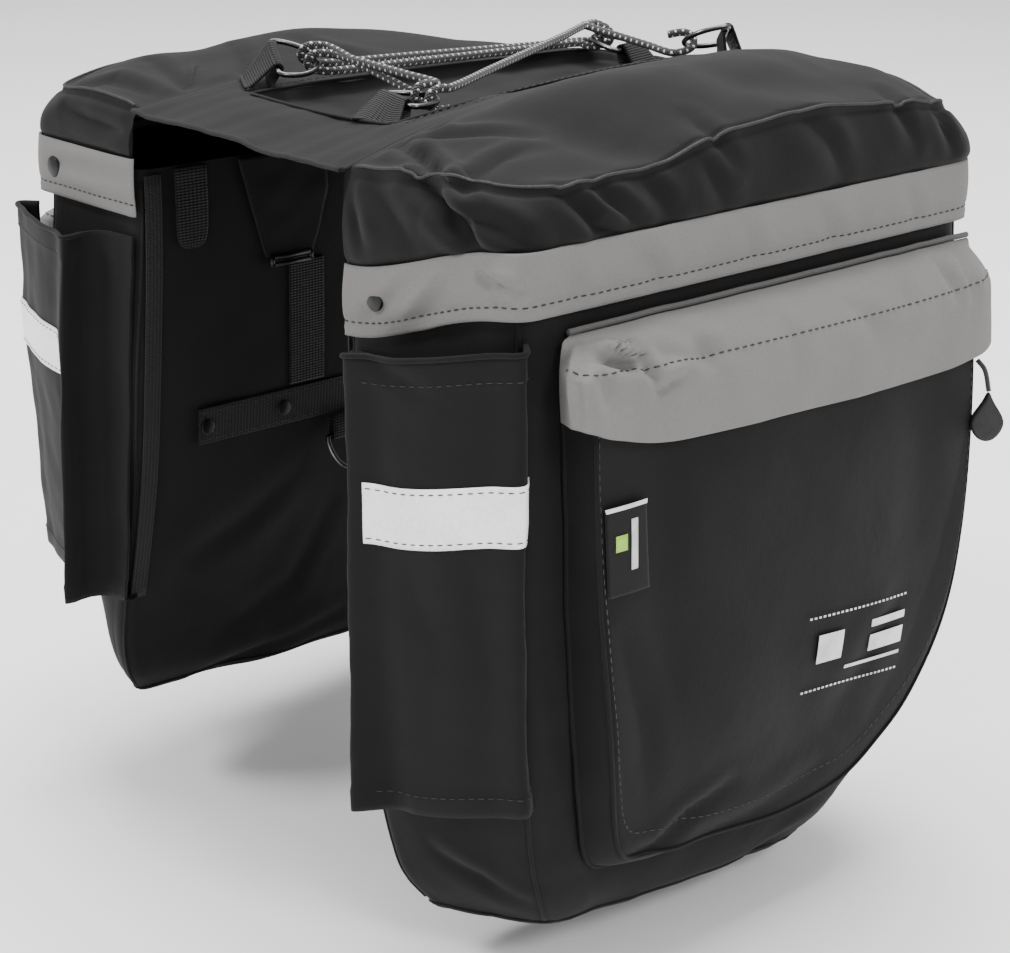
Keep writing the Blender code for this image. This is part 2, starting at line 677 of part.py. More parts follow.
def make_hood(side, parts):
    sign = SIDES[side]["sign"]
    stations = np.linspace(0, 1, len(HOOD_ROWS))
    table = np.array(HOOD_ROWS)
    profile = ((0.0, 0.0), (0.50, 0.05), (0.86, 0.30), (0.97, 0.65), (1.0, 1.0))
    rows = [[] for _ in profile]
    for t in np.linspace(0, 1, 20):
        along, reach, tall = spline_weights(stations, t) @ table
        base_along = 0.095 + (0.975 - 0.095) * t
        y0 = REAR_Y + BAG_LONG * base_along
        y1 = REAR_Y + BAG_LONG * along
        out = HOOD_OUT * reach
        drop = HOOD_TALL * tall
        for row, (lean, fall) in zip(rows, profile):
            y = y0 + (y1 - y0) * min(lean * 1.1, 1.0)
            z = POCKET_TOP + 0.002 - drop * fall
            base = outer_x(side, z, base_along) + FIT * 3 + CLOTH
            row.append(place(side, (base + out * lean, y, z)))
    return thicken(loft("pocket_hood_" + side, rows, "grey_cloth", parts, -sign, closed=False), CLOTH)


def make_tube(name, points, radius, material, parts, resolution=2, cyclic=False):
    curve = bpy.data.curves.new(name, "CURVE")
    curve.dimensions = "3D"
    curve.bevel_depth = radius
    curve.bevel_resolution = resolution
    curve.use_fill_caps = not cyclic
    spline = curve.splines.new("POLY")
    spline.points.add(len(points) - 1)
    for slot, p in zip(spline.points, points):
        slot.co = (*p, 1.0)
    spline.use_cyclic_u = cyclic
    obj = bpy.data.objects.new(name, curve)
    obj.data.materials.append(MATERIALS[material])
    parts.objects.link(obj)
    return obj


def smooth_path(points, per_span):
    points = [np.array(p, dtype=float) for p in points]
    out = []
    last = len(points) - 1
    for i in range(last):
        before = points[max(i - 1, 0)]
        after = points[min(i + 2, last)]
        a, b = points[i], points[i + 1]
        for k in range(per_span):
            t = k / per_span
            out.append(0.5 * (2 * a + (b - before) * t + (2 * before - 5 * a + 4 * b - after) * t**2
                              + (3 * a - before - 3 * b + after) * t**3))
    out.append(points[-1])
    return out


def make_piping(side, parts):
    points = []
    for t in np.linspace(0, 1, 10):
        along = 0.095 + (0.975 - 0.095) * t
        x = outer_x(side, POCKET_TOP, along) + FIT + PIPING_R + 0.0004
        z = POCKET_TOP + 0.002 + PIPING_R + CLOTH
        points.append(place(side, (x, REAR_Y + BAG_LONG * along, z)))
    return make_tube("hood_piping_" + side, points, PIPING_R, "black_cloth", parts, 2)


def make_disc(name, centre, normal, radius, tall, material, parts, rim=0.6):
    bm = bmesh.new()
    bmesh.ops.create_cone(bm, cap_ends=True, segments=16, radius1=radius, radius2=radius * rim, depth=tall)
    turn = Vector((0, 0, 1)).rotation_difference(Vector(normal)).to_matrix().to_4x4()
    bmesh.ops.transform(bm, matrix=Matrix.Translation(centre) @ turn, verts=bm.verts)
    return finish_object(name, bm, material, parts)


def make_band_rivet(side, parts):
    depth = {"right": 0.22, "left": 0.66}[side] * BAG_DEEP
    sign = SIDES[side]["sign"]
    x = RACK_HALF + depth
    y = REAR_Y + BAG_LONG * 0.010 * depth / BAG_DEEP - LID_OVERHANG - CLOTH - BAND_SWELL
    y -= RIVET_OUT * 0.5 + FIT * 2
    z = band_edge(side, x, REAR_Y) - BAND_TALL * 0.48
    return make_disc("band_rivet_" + side, (sign * x, y, z), (0, -1, 0), RIVET_R, RIVET_OUT,
                     "dark_metal", parts)


def ring_points(wide, tall, turns=14):
    """A D shape in the XZ plane: straight bar at the bottom, centred on the origin."""
    pts = []
    corner = 0.003
    half = wide / 2
    for k in range(turns + 1):
        angle = math.pi * k / turns
        pts.append((half * math.cos(angle), 0.0, corner + (tall - corner) * math.sin(angle)))
    pts.append((-half + 0.001, 0.0, 0.0008))
    pts.append((-half + corner, 0.0, 0.0))
    pts.append((half - corner, 0.0, 0.0))
    pts.append((half - 0.001, 0.0, 0.0008))
    return pts


def heading(turn, pitch):
    turn, pitch = math.radians(turn), math.radians(pitch)
    return Vector((math.cos(turn) * math.cos(pitch), math.sin(turn) * math.cos(pitch), math.sin(pitch)))


def loop_frame(number):
    """Base centre, bar centre, base, bar and ring directions of one loop."""
    row = dict(zip(LOOP_COLUMNS, LOOP_ROWS[number]))
    base_x, base_y = RACK_HALF * row["base_x"], REAR_Y + BAG_LONG * row["base_y"]
    bar_x, bar_y = RACK_HALF * row["bar_x"], REAR_Y + BAG_LONG * row["bar_y"]
    base = Vector((base_x, base_y, window_height(base_x, base_y)))
    bar = Vector((bar_x, bar_y, window_height(bar_x, bar_y) + LID_RISE * row["bar_up"]))
    along_bar = heading(row["bar_turn"], row["bar_pitch"])
    ring = heading(row["ring_turn"], row["ring_pitch"])
    ring = (ring - along_bar * ring.dot(along_bar)).normalized()
    return base, bar, heading(row["base_turn"], 0), along_bar, ring


def make_web_loop(number, parts):
    """Webbing folded round the bar of a ring, with both ends sewn down."""
    base, bar, base_way, bar_way, _ = loop_frame(number)
    room = RING_WIRE + FIT
    foot = WEB_WIDE * 0.22
    rows = []
    for share in (-0.5, 0.5):
        low = base + base_way * WEB_WIDE * share
        high = bar + bar_way * WEB_WIDE * 0.84 * share
        back = (low - high - bar_way * (low - high).dot(bar_way)).normalized()
        beside = bar_way.cross(back).normalized()
        spread = Vector((0, 0, 1)).cross(base_way).normalized()
        if spread.dot(beside) < 0:
            spread = -spread
        row = [low + spread * foot]
        for k in range(9):
            angle = math.pi * k / 8
            row.append(high + beside * room * math.cos(angle) - back * room * math.sin(angle))
        row.append(low - spread * foot)
        for i in (0, -1):
            row[i].z = window_height(row[i].x, row[i].y) + LOOP_FOOT[number]
        rows.append(row)
    return thicken(loft("web_loop_" + number, rows, "black_web", parts, 1, closed=False), WEB_THICK)


def make_ring(name, bar, bar_way, ring_way, wide, tall, wire, parts):
    points = [bar + bar_way * x + ring_way * z for x, _, z in ring_points(wide, tall, 8)]
    return make_tube(name, points, wire, "dark_metal", parts, 2, cyclic=True)


def ring_pass(number, place_on_bar):
    """Cord points through a ring and round the far side of its wire."""
    _, bar, _, bar_way, ring_way = loop_frame(number)
    normal = bar_way.cross(ring_way).normalized()
    if normal.z < 0:
        normal = -normal
    sideways = bar_way * place_on_bar * BUNGEE_R * 2
    depth = RING_TALL * math.sqrt(max(1 - (2 * place_on_bar * BUNGEE_R * 2 / RING_WIDE)**2, 0.1))
    wire = bar + sideways + ring_way * depth
    room = RING_WIRE + BUNGEE_R + FIT * 3
    turn = []
    for angle in (0, 50, 90, 130, 180):
        a = math.radians(angle)
        turn.append(wire + normal * room * math.cos(a) - ring_way * room * math.sin(a))
    return [turn[0] + ring_way * room * 1.5] + turn + [turn[-1] + ring_way * room * 1.5]


def make_bungee(parts):
    route = []
    for number, place_on_bar in BUNGEE_ROUTE:
        turn = ring_pass(number, place_on_bar)
        if route and (Vector(route[-1]) - turn[0]).length > (Vector(route[-1]) - turn[-1]).length:
            turn.reverse()
        if route:
            start = Vector(route[-1])
            for share in (0.25, 0.5, 0.75):
                route.append(tuple(start.lerp(turn[0], share)))
        route += [tuple(p) for p in turn]
    return make_tube("bungee", route, BUNGEE_R, "bungee_cord", parts, 2)


def wall_grid(side, rows, off, columns=3):
    """Points on the inner wall, off from it toward the rack."""
    tall = BAG_TALL * SIDES[side]["tall"]
    grid = []
    for start, stop, down in rows:
        z = BODY_TOP - tall * down
        line = []
        for k in range(columns):
            y = REAR_Y + BAG_LONG * (start + (stop - start) * k / (columns - 1))
            line.append(place(side, (inner_x(side, y, z) - off, y, z)))
        grid.append(line)
    return grid


def make_wall_patch(name, side, rows, thick, material, parts, under=0.0):
    """A flat fitting on the inner wall; under is what already lies beneath it."""
    off = FIT + under + thick
    grid = wall_grid(side, rows, off)
    return thicken(loft(name + "_" + side, grid, material, parts, -SIDES[side]["sign"], closed=False), thick)


def make_wall_fittings(side, parts):
    sign = SIDES[side]["sign"]
    tall = BAG_TALL * SIDES[side]["tall"]
    make_wall_patch("velcro_strap", side, STRAP_ROWS, WEB_THICK, "black_web", parts)
    make_wall_patch("strap_flap", side, FLAP_ROWS, CLOTH, "black_cloth", parts)
    make_wall_patch("web_strap", side, WEB_ROWS, WEB_THICK, "black_web", parts)
    make_wall_patch("inner_strip", side, STRIP_ROWS, WEB_THICK, "black_web", parts, -SEAM_GAP)
    make_wall_patch("inner_binding", side, BINDING_ROWS, BINDING_THICK, "black_cloth", parts,
                    SIDES[side]["trim"])
    strip_mid = (STRIP_ROWS[0][2] + STRIP_ROWS[-1][2]) / 2
    for number, along in (("1", 0.125), ("2", 0.285)):
        y = REAR_Y + BAG_LONG * along
        z = BODY_TOP - tall * strip_mid
        x = inner_x(side, y, z) - FIT * 2 - WEB_THICK - SEAM_GAP - RIVET_OUT / 2
        make_disc("strip_rivet_%s_%s" % (side, number), (sign * x, y, z), (-sign, 0, 0), RIVET_R * 0.75,
                  RIVET_OUT, "dark_metal", parts)
    make_adjuster(side, parts)
    make_lower_ring(side, parts)


def make_adjuster(side, parts):
    """Plastic slider between the flap and the webbing."""
    tall = BAG_TALL * SIDES[side]["tall"]
    y = REAR_Y + BAG_LONG * (FLAP_ROWS[-1][0] + FLAP_ROWS[-1][1]) / 2
    z = BODY_TOP - tall * (FLAP_ROWS[-1][2] + WEB_ROWS[0][2]) / 2
    long_z = tall * (WEB_ROWS[0][2] - FLAP_ROWS[-1][2]) - 2 * FIT
    x = inner_x(side, y, z) - FIT - 0.0020
    bm = bmesh.new()
    bmesh.ops.create_cube(bm, size=1.0)
    bmesh.ops.scale(bm, vec=(0.0034, WEB_WIDE + 0.004, long_z), verts=bm.verts)
    lean = (inner_x(side, y, z - 0.01) - inner_x(side, y, z + 0.01)) / 0.02
    bmesh.ops.rotate(bm, matrix=Matrix.Rotation(math.atan(lean), 3, "Y"), verts=bm.verts)
    bmesh.ops.translate(bm, vec=(x, y, z), verts=bm.verts)
    bmesh.ops.scale(bm, vec=(SIDES[side]["sign"], 1, 1), verts=bm.verts)
    return finish_object("adjuster_" + side, bm, "black_plastic", parts, SIDES[side]["sign"])


def make_lower_ring(side, parts):
    """Ring that hooks on the rack's foot, in a folded tab under the strip."""
    sign = SIDES[side]["sign"]
    tall = BAG_TALL * SIDES[side]["tall"]
    y = REAR_Y + BAG_LONG * 0.415
    top = BODY_TOP - tall * STRIP_ROWS[-1][2] - FIT
    tab_long = 0.012
    bar_z = top - tab_long
    room = RING_WIRE + FIT
    x = min(inner_x(side, y, top), inner_x(side, y, bar_z)) - FIT * 2 - room - WEB_THICK
    rows = []
    for share in (-0.5, 0.5):
        row = []
        for k in range(9):
            angle = math.pi * k / 8
            row.append((x + room * math.cos(angle), y + 0.020 * share, bar_z - room * math.sin(angle)))
        row = [(x + room, y + 0.020 * share, top)] + row + [(x - room, y + 0.020 * share, top)]
        rows.append([place(side, p) for p in row])
    thicken(loft("ring_tab_" + side, rows, "black_web", parts, sign, closed=False), WEB_THICK)
    hang = Vector((-sign * 0.35, 0, -0.94)).normalized()
    make_ring("lower_ring_" + side, Vector((sign * x, y, bar_z)), Vector((0, 1, 0)), hang,
              RING_WIDE * 0.9, RING_TALL * 0.9, RING_WIRE, parts)


def make_side_tag(side, parts):
    rows = []
    for start, stop, down in TAG_ROWS:
        row = []
        for along in np.linspace(start, stop, 3):
            x = panel_x(side, along, down) + FIT
            z = POCKET_MOUTH - POCKET_TALL * SIDES[side]["tall"] * down + 0.008 * down
            row.append(place(side, (x, REAR_Y + BAG_LONG * along, z)))
        rows.append(row)
    sign = SIDES[side]["sign"]
    return thicken(loft("side_tag_" + side, rows, "black_web", parts, -sign, closed=False), TAG_THICK)


def make_lid_tab(side, parts):
    """Small pull tab at the lid's front outer corner."""
    sign = SIDES[side]["sign"]
    x = RACK_HALF + BAG_DEEP * 0.80
    y = REAR_Y + BAG_LONG * 0.995 + LID_OVERHANG + CLOTH + 0.0029
    z = BAND_TOP + 0.010
    bm = bmesh.new()
    bmesh.ops.create_cube(bm, size=1.0)
    bmesh.ops.scale(bm, vec=(0.012, 0.0060, 0.014), verts=bm.verts)
    bmesh.ops.translate(bm, vec=(sign * x, y, z), verts=bm.verts)
    return finish_object("lid_tab_" + side, bm, "black_web", parts)


def make_zip_pull(side, parts):
    """Cord from the pocket's zip down to a moulded drop."""
    sign = SIDES[side]["sign"]
    along = 0.925
    y = REAR_Y + BAG_LONG * along
    top = POCKET_TOP - HOOD_TALL * 1.06
    down = (POCKET_MOUTH - top) / POCKET_TALL
    x = panel_x(side, along, down) - FIT * 1.4
    drop = 0.016
    out = PULLER_WIDE * 0.5 * math.sin(math.radians(PULLER_TURN)) + PULLER_THICK * 0.5 + FIT
    cord = [(x + PULL_CORD_R + FIT, y, top), (x + out * 0.7, y + 0.001, top - drop * 0.3),
            (x + out, y + 0.002, top - drop)]
    route = [place(side, p) for p in smooth_path(cord, 2)]
    make_tube("zip_cord_" + side, route, PULL_CORD_R, "black_web", parts, 2)
    outline = []
    for k in range(PULLER_SIDES):
        angle = 2 * math.pi * k / PULLER_SIDES
        narrow = 0.28 + 0.72 * smooth((1 - math.sin(angle)) * 0.72)
        outline.append((0.5 * PULLER_WIDE * narrow * math.cos(angle), 0.5 * PULLER_LONG * math.sin(angle)))
    bm = bmesh.new()
    layers = []
    for depth, size in ((-0.5, 0.82), (-0.25, 1.0), (0.25, 1.0), (0.5, 0.82)):
        layers.append([bm.verts.new((u * size, depth * PULLER_THICK, v * size)) for u, v in outline])
    for lower, upper in zip(layers, layers[1:]):
        for i in range(PULLER_SIDES):
            j = (i + 1) % PULLER_SIDES
            bm.faces.new((lower[i], lower[j], upper[j], upper[i]))
    bm.faces.new(layers[0][::-1])
    bm.faces.new(layers[-1])
    bmesh.ops.recalc_face_normals(bm, faces=bm.faces)
    bmesh.ops.rotate(bm, matrix=Matrix.Rotation(math.radians(90 - PULLER_TURN), 3, "Z"), verts=bm.verts)
    bmesh.ops.translate(bm, vec=(x + out, y + 0.002, top - drop - FIT - PULLER_LONG / 2), verts=bm.verts)
    bmesh.ops.scale(bm, vec=(sign, 1, 1), verts=bm.verts)
    return finish_object("zip_puller_" + side, bm, "black_rubber", parts, sign)


MATERIALS = {}


def main():
    parts = clear_scene()
    for name in FINISHES:
        MATERIALS[name] = make_material(name)
    make_bridge(parts)
    for side in SIDES:
        make_bag(side, parts)
        make_lid(side, parts)
        make_band(side, parts)
        make_bottle_pocket(side, parts)
        make_reflector(side, parts)
        make_outer_pocket(side, parts)
        make_hood(side, parts)
        make_piping(side, parts)
        make_band_rivet(side, parts)
        make_wall_fittings(side, parts)
        make_side_tag(side, parts)
        make_lid_tab(side, parts)
        make_zip_pull(side, parts)
    for number in LOOP_ROWS:
        make_web_loop(number, parts)
        _, bar, _, bar_way, ring_way = loop_frame(number)
        make_ring("d_ring_" + number, bar, bar_way, ring_way, RING_WIDE, RING_TALL, RING_WIRE, parts)
    make_bungee(parts)


main()
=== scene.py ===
"""Looks of the double bicycle pannier: dense cloth surfaces, seams, stitches and hardware."""

import math
import bpy
import bmesh
import numpy as np
from mathutils import Matrix, Vector


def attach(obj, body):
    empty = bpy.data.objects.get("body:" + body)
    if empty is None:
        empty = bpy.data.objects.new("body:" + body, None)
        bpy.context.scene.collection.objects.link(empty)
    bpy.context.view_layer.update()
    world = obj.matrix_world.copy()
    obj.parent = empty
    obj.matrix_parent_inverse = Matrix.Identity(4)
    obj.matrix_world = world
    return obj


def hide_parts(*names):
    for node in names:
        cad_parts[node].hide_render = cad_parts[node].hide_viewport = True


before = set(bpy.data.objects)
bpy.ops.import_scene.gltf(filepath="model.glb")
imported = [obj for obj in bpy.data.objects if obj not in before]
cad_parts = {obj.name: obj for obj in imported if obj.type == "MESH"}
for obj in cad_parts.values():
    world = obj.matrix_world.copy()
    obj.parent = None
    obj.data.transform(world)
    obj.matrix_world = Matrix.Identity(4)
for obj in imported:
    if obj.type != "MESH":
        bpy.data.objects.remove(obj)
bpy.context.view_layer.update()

# Sizes shared with the solids
RACK_HALF = 0.0863
BAG_DEEP = 0.118
BAG_LONG = 0.334
BAG_TALL = 0.352
REAR_Y = -0.174
WALL_BULGE = 0.0020
FRONT_BULGE = 0.0060
LID_RISE = 0.045
LID_OUT = 0.0030
BAND_TALL = 0.031
BAND_TOP = -0.0200
BODY_TOP = -0.0260
WINDOW_DROP = 0.0055
WINDOW_HALF = 0.057
WINDOW_REAR = -0.120
WINDOW_FRONT = 0.1475
CLOTH = 0.0018
BOTTLE_OUT = 0.027
BOTTLE_TALL = 0.232
BOTTLE_TOP = -0.062
REFLECTOR_TALL = 0.030
REFLECTOR_DROP = 0.062
POCKET_OUT = 0.020
POCKET_SWELL = 0.007
POCKET_TOP = -0.063
POCKET_MOUTH = -0.080
POCKET_TALL = 0.268
HOOD_TALL = 0.054
HOOD_OUT = 0.027
WEB_WIDE = 0.025
RING_WIRE = 0.0015
RING_WIDE = 0.030
RING_TALL = 0.024
BUNGEE_R = 0.0022
SIDES = {
    "right": {"sign": 1, "tall": 1.0, "droop": 0.024, "sag": 0.016},
    "left": {"sign": -1, "tall": 0.895, "droop": 0.0, "sag": 0.006},
}
BAG_SECTIONS = {
    "right": np.array((
        (0.00, 0.00, 0.98, 0.98, 0.000, 0.010, 0.995, 0.16),
        (0.10, 0.00, 0.98, 0.98, 0.000, 0.010, 0.995, 0.15),
        (0.33, 0.02, 1.01, 1.02, -0.004, 0.010, 1.000, 0.14),
        (0.56, 0.07, 1.01, 1.03, -0.008, 0.014, 0.995, 0.14),
        (0.76, 0.14, 1.00, 1.02, -0.010, 0.028, 0.950, 0.17),
        (0.87, 0.20, 0.97, 1.00, -0.008, 0.052, 0.850, 0.20),
        (0.94, 0.26, 0.93, 0.96, 0.002, 0.085, 0.775, 0.24),
        (0.985, 0.33, 0.86, 0.88, 0.030, 0.120, 0.720, 0.26))),
    "left": np.array((
        (0.00, 0.00, 0.84, 0.98, 0.000, 0.006, 0.995, 0.18),
        (0.10, 0.00, 0.845, 0.98, 0.000, 0.006, 0.995, 0.17),
        (0.33, 0.04, 0.97, 1.02, -0.012, 0.010, 1.000, 0.16),
        (0.56, 0.10, 0.95, 1.02, -0.016, 0.030, 0.995, 0.18),
        (0.76, 0.20, 0.88, 0.99, -0.014, 0.050, 0.950, 0.24),
        (0.87, 0.26, 0.78, 0.94, -0.008, 0.070, 0.850, 0.26),
        (0.94, 0.28, 0.66, 0.86, 0.004, 0.085, 0.775, 0.26),
        (0.985, 0.34, 0.54, 0.74, 0.030, 0.110, 0.720, 0.26))),
}
TOP_ACROSS = (-1.00, -0.72, -0.38, 0.00, 0.30, 0.66, 1.00)
TOP_ALONG = (0.00, 0.16, 0.40, 0.68, 0.90, 1.00)
TOP_SHARES = np.array((
    (-0.06, 0.18, 0.14, 0.09, 0.02, 0.08, 0.16),
    (0.12, 0.50, 0.30, 0.22, 0.26, 0.46, 0.10),
    (0.16, 0.52, 0.32, 0.24, 0.44, 0.82, 0.32),
    (0.08, 0.40, 0.28, 0.26, 0.54, 0.82, 0.42),
    (-0.06, 0.16, 0.22, 0.26, 0.46, 0.68, 0.22),
    (-0.24, -0.08, 0.08, 0.12, 0.20, 0.36, -0.10)))
LID_FOLDS = (
    (1, 0.80, 0.24, 62, 0.42, 1.10, -0.15),
    (1, 0.74, 0.40, 30, 0.50, 1.60, 0.09),
    (1, 0.84, 0.62, 12, 0.40, 1.50, -0.08),
    (1, 0.72, 0.84, -35, 0.45, 1.20, -0.10),
    (-1, 0.66, 0.22, -50, 0.45, 1.20, -0.12),
    (-1, 0.74, 0.48, -10, 0.50, 1.80, 0.08),
    (-1, 0.70, 0.80, 40, 0.45, 1.20, -0.09),
)
POCKET_FOLDS = (
    (0.20, 0.30, 0.05, 0.34, -0.10),
    (0.34, 0.72, 0.10, 0.16, 0.12),
    (0.62, 0.84, 0.14, 0.12, -0.14),
    (0.78, 0.34, 0.07, 0.36, -0.10),
)
HOOD_ROWS = np.array((
    (0.066, 0.10, 0.70), (0.052, 0.55, 0.68), (0.062, 0.95, 0.70), (0.105, 1.00, 0.80),
    (0.220, 1.00, 0.95), (0.450, 1.08, 1.00), (0.700, 1.08, 1.04), (0.880, 1.00, 1.02),
    (0.950, 0.85, 0.98), (0.985, 0.50, 0.92), (0.975, 0.10, 0.88)))
POCKET_ROWS = np.array((
    (0.085, 0.090, 0.00), (0.088, 0.090, 0.30), (0.098, 0.108, 0.55), (0.120, 0.138, 0.80),
    (0.150, 0.172, 0.96), (0.215, 0.235, 1.00), (0.370, 0.370, 1.02), (0.530, 0.520, 1.02),
    (0.680, 0.660, 0.99), (0.780, 0.750, 0.92), (0.850, 0.820, 0.84), (0.900, 0.880, 0.70),
    (0.928, 0.910, 0.50), (0.938, 0.918, 0.25), (0.938, 0.915, 0.00)))
LOOP_COLUMNS = ("base_x", "base_y", "bar_x", "bar_y", "bar_up", "base_turn", "bar_turn", "bar_pitch",
                "ring_turn", "ring_pitch")
LOOP_ROWS = {
    "1": (-0.834, 0.204, -0.765, 0.225, 0.33, 150, 153, 28, 75, -4),
    "2": (0.440, 0.186, 0.348, 0.234, 0.29, 20, -3, -5, 108, 0),
    "3": (-0.197, 0.913, -0.301, 0.910, 0.27, 100, 105, 0, 195, 12),
    "4": (0.336, 0.994, 0.348, 0.970, 0.38, -35, -38, 28, 236, -8),
}
BUNGEE_ROUTE = (("4", 0.0), ("3", -1.3), ("1", 0.0), ("2", -1.3), ("1", 1.5), ("3", 1.3), ("2", 1.3))


# Camera
CAM_TURN, CAM_TILT, CAM_ROLL = (math.radians(a) for a in (47.3184, 18.926, 0.2384))
CAM_FAR = 1.3224
CAM_LENS = 2323.694
CAM_AIM = np.array((0.0089, 0.0, -0.2107))
WIDE, HIGH = 1010, 953
cam_back = np.array((math.sin(CAM_TURN) * math.cos(CAM_TILT), -math.cos(CAM_TURN) * math.cos(CAM_TILT),
                     math.sin(CAM_TILT)))
flat_right = np.array((math.cos(CAM_TURN), math.sin(CAM_TURN), 0.0))
flat_up = np.cross(cam_back, flat_right)
cam_right = math.cos(CAM_ROLL) * flat_right + math.sin(CAM_ROLL) * flat_up
cam_up = -math.sin(CAM_ROLL) * flat_right + math.cos(CAM_ROLL) * flat_up
CAM_AT = CAM_AIM + cam_back * CAM_FAR


def seen_at(points):
    """Photo pixel and distance of points."""
    rel = np.asarray(points) - CAM_AT
    far = -(rel @ cam_back)
    return (np.stack((WIDE / 2 + CAM_LENS * (rel @ cam_right) / far,
                      HIGH / 2 - CAM_LENS * (rel @ cam_up) / far), axis=-1), far)


def add_object(name, data, mat=None):
    obj = bpy.data.objects.new(name, data)
    bpy.context.scene.collection.objects.link(obj)
    if mat:
        data.materials.append(mat)
    return obj


def add_mesh(name, verts, faces, mat, uvs=None, shade=True):
    mesh = bpy.data.meshes.new(name)
    mesh.from_pydata(verts, [], faces)
    if uvs:
        mesh.uv_layers.new(name="UVMap").data.foreach_set("uv", np.array(uvs, float).ravel())
    if shade:
        mesh.shade_smooth()
    return add_object(name, mesh, MATS[mat])


def make_camera():
    data = bpy.data.cameras.new("camera")
    cam = add_object("camera", data)
    data.sensor_width = 36.0
    data.lens = CAM_LENS / WIDE * 36.0
    data.clip_start = 0.05
    cam.matrix_world = Matrix([[*row] for row in np.vstack((
        np.column_stack((cam_right, cam_up, cam_back, CAM_AT)), (0, 0, 0, 1)))])
    bpy.context.scene.camera = cam


def add_light(name, at, aim, size, power):
    data = bpy.data.lights.new(name, "AREA")
    data.shape = "DISK"
    data.size = size
    data.energy = power
    light = add_object(name, data)
    light.location = at
    light.rotation_euler = (Vector(at) - Vector(aim)).to_track_quat("Z", "Y").to_euler()


def make_studio():
    world = bpy.data.worlds.new("studio")
    bpy.context.scene.world = world
    world.use_nodes = True
    back = world.node_tree.nodes["Background"]
    back.inputs["Color"].default_value = (1, 1, 1, 1)
    back.inputs["Strength"].default_value = 0.75
    add_light("overhead", (-0.3, 0.6, 3.2), (0, 0, -0.3), 3.0, 230)
    add_light("key", (-0.9, -1.9, 2.0), (0, 0, -0.1), 0.9, 60)
    add_light("side", (2.2, -0.4, 1.3), (0.1, 0, -0.1), 0.8, 34)
    floor = bpy.data.meshes.new("floor")
    reach = 8.0
    z = -0.405
    floor.from_pydata([(-reach, -reach, z), (reach, -reach, z), (reach, reach, z), (-reach, reach, z)], [],
                      [(0, 1, 2, 3)])
    mat = bpy.data.materials.new("floor_paint")
    mat.use_nodes = True
    shader = mat.node_tree.nodes["Principled BSDF"]
    shader.inputs["Base Color"].default_value = (0.93, 0.93, 0.93, 1)
    shader.inputs["Roughness"].default_value = 0.9
    add_object("floor", floor, mat)


# Materials
class Finish:
    """A node material: its nodes are made and linked by short calls."""

    def __init__(self, name, rough, metal=0.0, sheen=0.0, spec=0.5):
        self.mat = bpy.data.materials.new(name)
        self.mat.use_nodes = True
        self.tree = self.mat.node_tree
        self.shader = self.tree.nodes["Principled BSDF"]
        for key, value in (("Roughness", rough), ("Metallic", metal), ("Specular IOR Level", spec)):
            self.shader.inputs[key].default_value = value
        if sheen:
            self.shader.inputs["Sheen Weight"].default_value = sheen
            self.shader.inputs["Sheen Roughness"].default_value = 0.5

    def node(self, kind, **values):
        made = self.tree.nodes.new("ShaderNode" + kind)
        for key, value in values.items():
            if hasattr(made, key):
                setattr(made, key, value)
            else:
                self.feed(made.inputs[key], value)
        return made

    def feed(self, socket, value):
        if isinstance(value, (int, float)):
            socket.default_value = value
        else:
            self.tree.links.new(value, socket)

    def calc(self, operation, a, b=None):
        made = self.node("Math", operation=operation)
        for socket, value in zip(made.inputs, (a, b)):
            if value is not None:
                self.feed(socket, value)
        return made.outputs[0]

    def times(self, a, b):
        return self.calc("MULTIPLY", a, b)

    def plus(self, a, b):
        return self.calc("ADD", a, b)

    def sine(self, a, b):
        return self.calc("SINE", self.times(a, b))

    def place(self):
        return self.node("TexCoord").outputs["Object"]

    def uv(self):
        return self.node("UVMap", uv_map="UVMap").outputs["UV"]

    def uv_axes(self):
        split = self.node("SeparateXYZ")
        self.tree.links.new(self.uv(), split.inputs[0])
        return split.outputs

    def noise(self, where, scale, detail, rough):
        made = self.node("TexNoise", Scale=scale, Detail=detail, Roughness=rough)
        self.tree.links.new(where, made.inputs["Vector"])
        return made.outputs["Fac"]

    def ramp(self, source, stops):
        made = self.node("ValToRGB")
        bar = made.color_ramp
        while len(bar.elements) < len(stops):
            bar.elements.new(0.5)
        for element, (at, colour) in zip(bar.elements, stops):
            element.position = at
            element.color = (*colour, 1)
        self.tree.links.new(source, made.inputs["Fac"])
        return made.outputs["Color"]

    def bump(self, height, strength, distance, under=None):
        made = self.node("Bump", Strength=strength, Distance=distance, Height=height)
        if under:
            self.tree.links.new(under, made.inputs["Normal"])
        return made.outputs["Normal"]

    def done(self, colour, normal):
        self.feed(self.shader.inputs["Base Color"], colour)
        self.feed(self.shader.inputs["Normal"], normal)
        return self.mat


def scaled(colour, by):
    return tuple(min(c * by, 1.0) for c in colour)


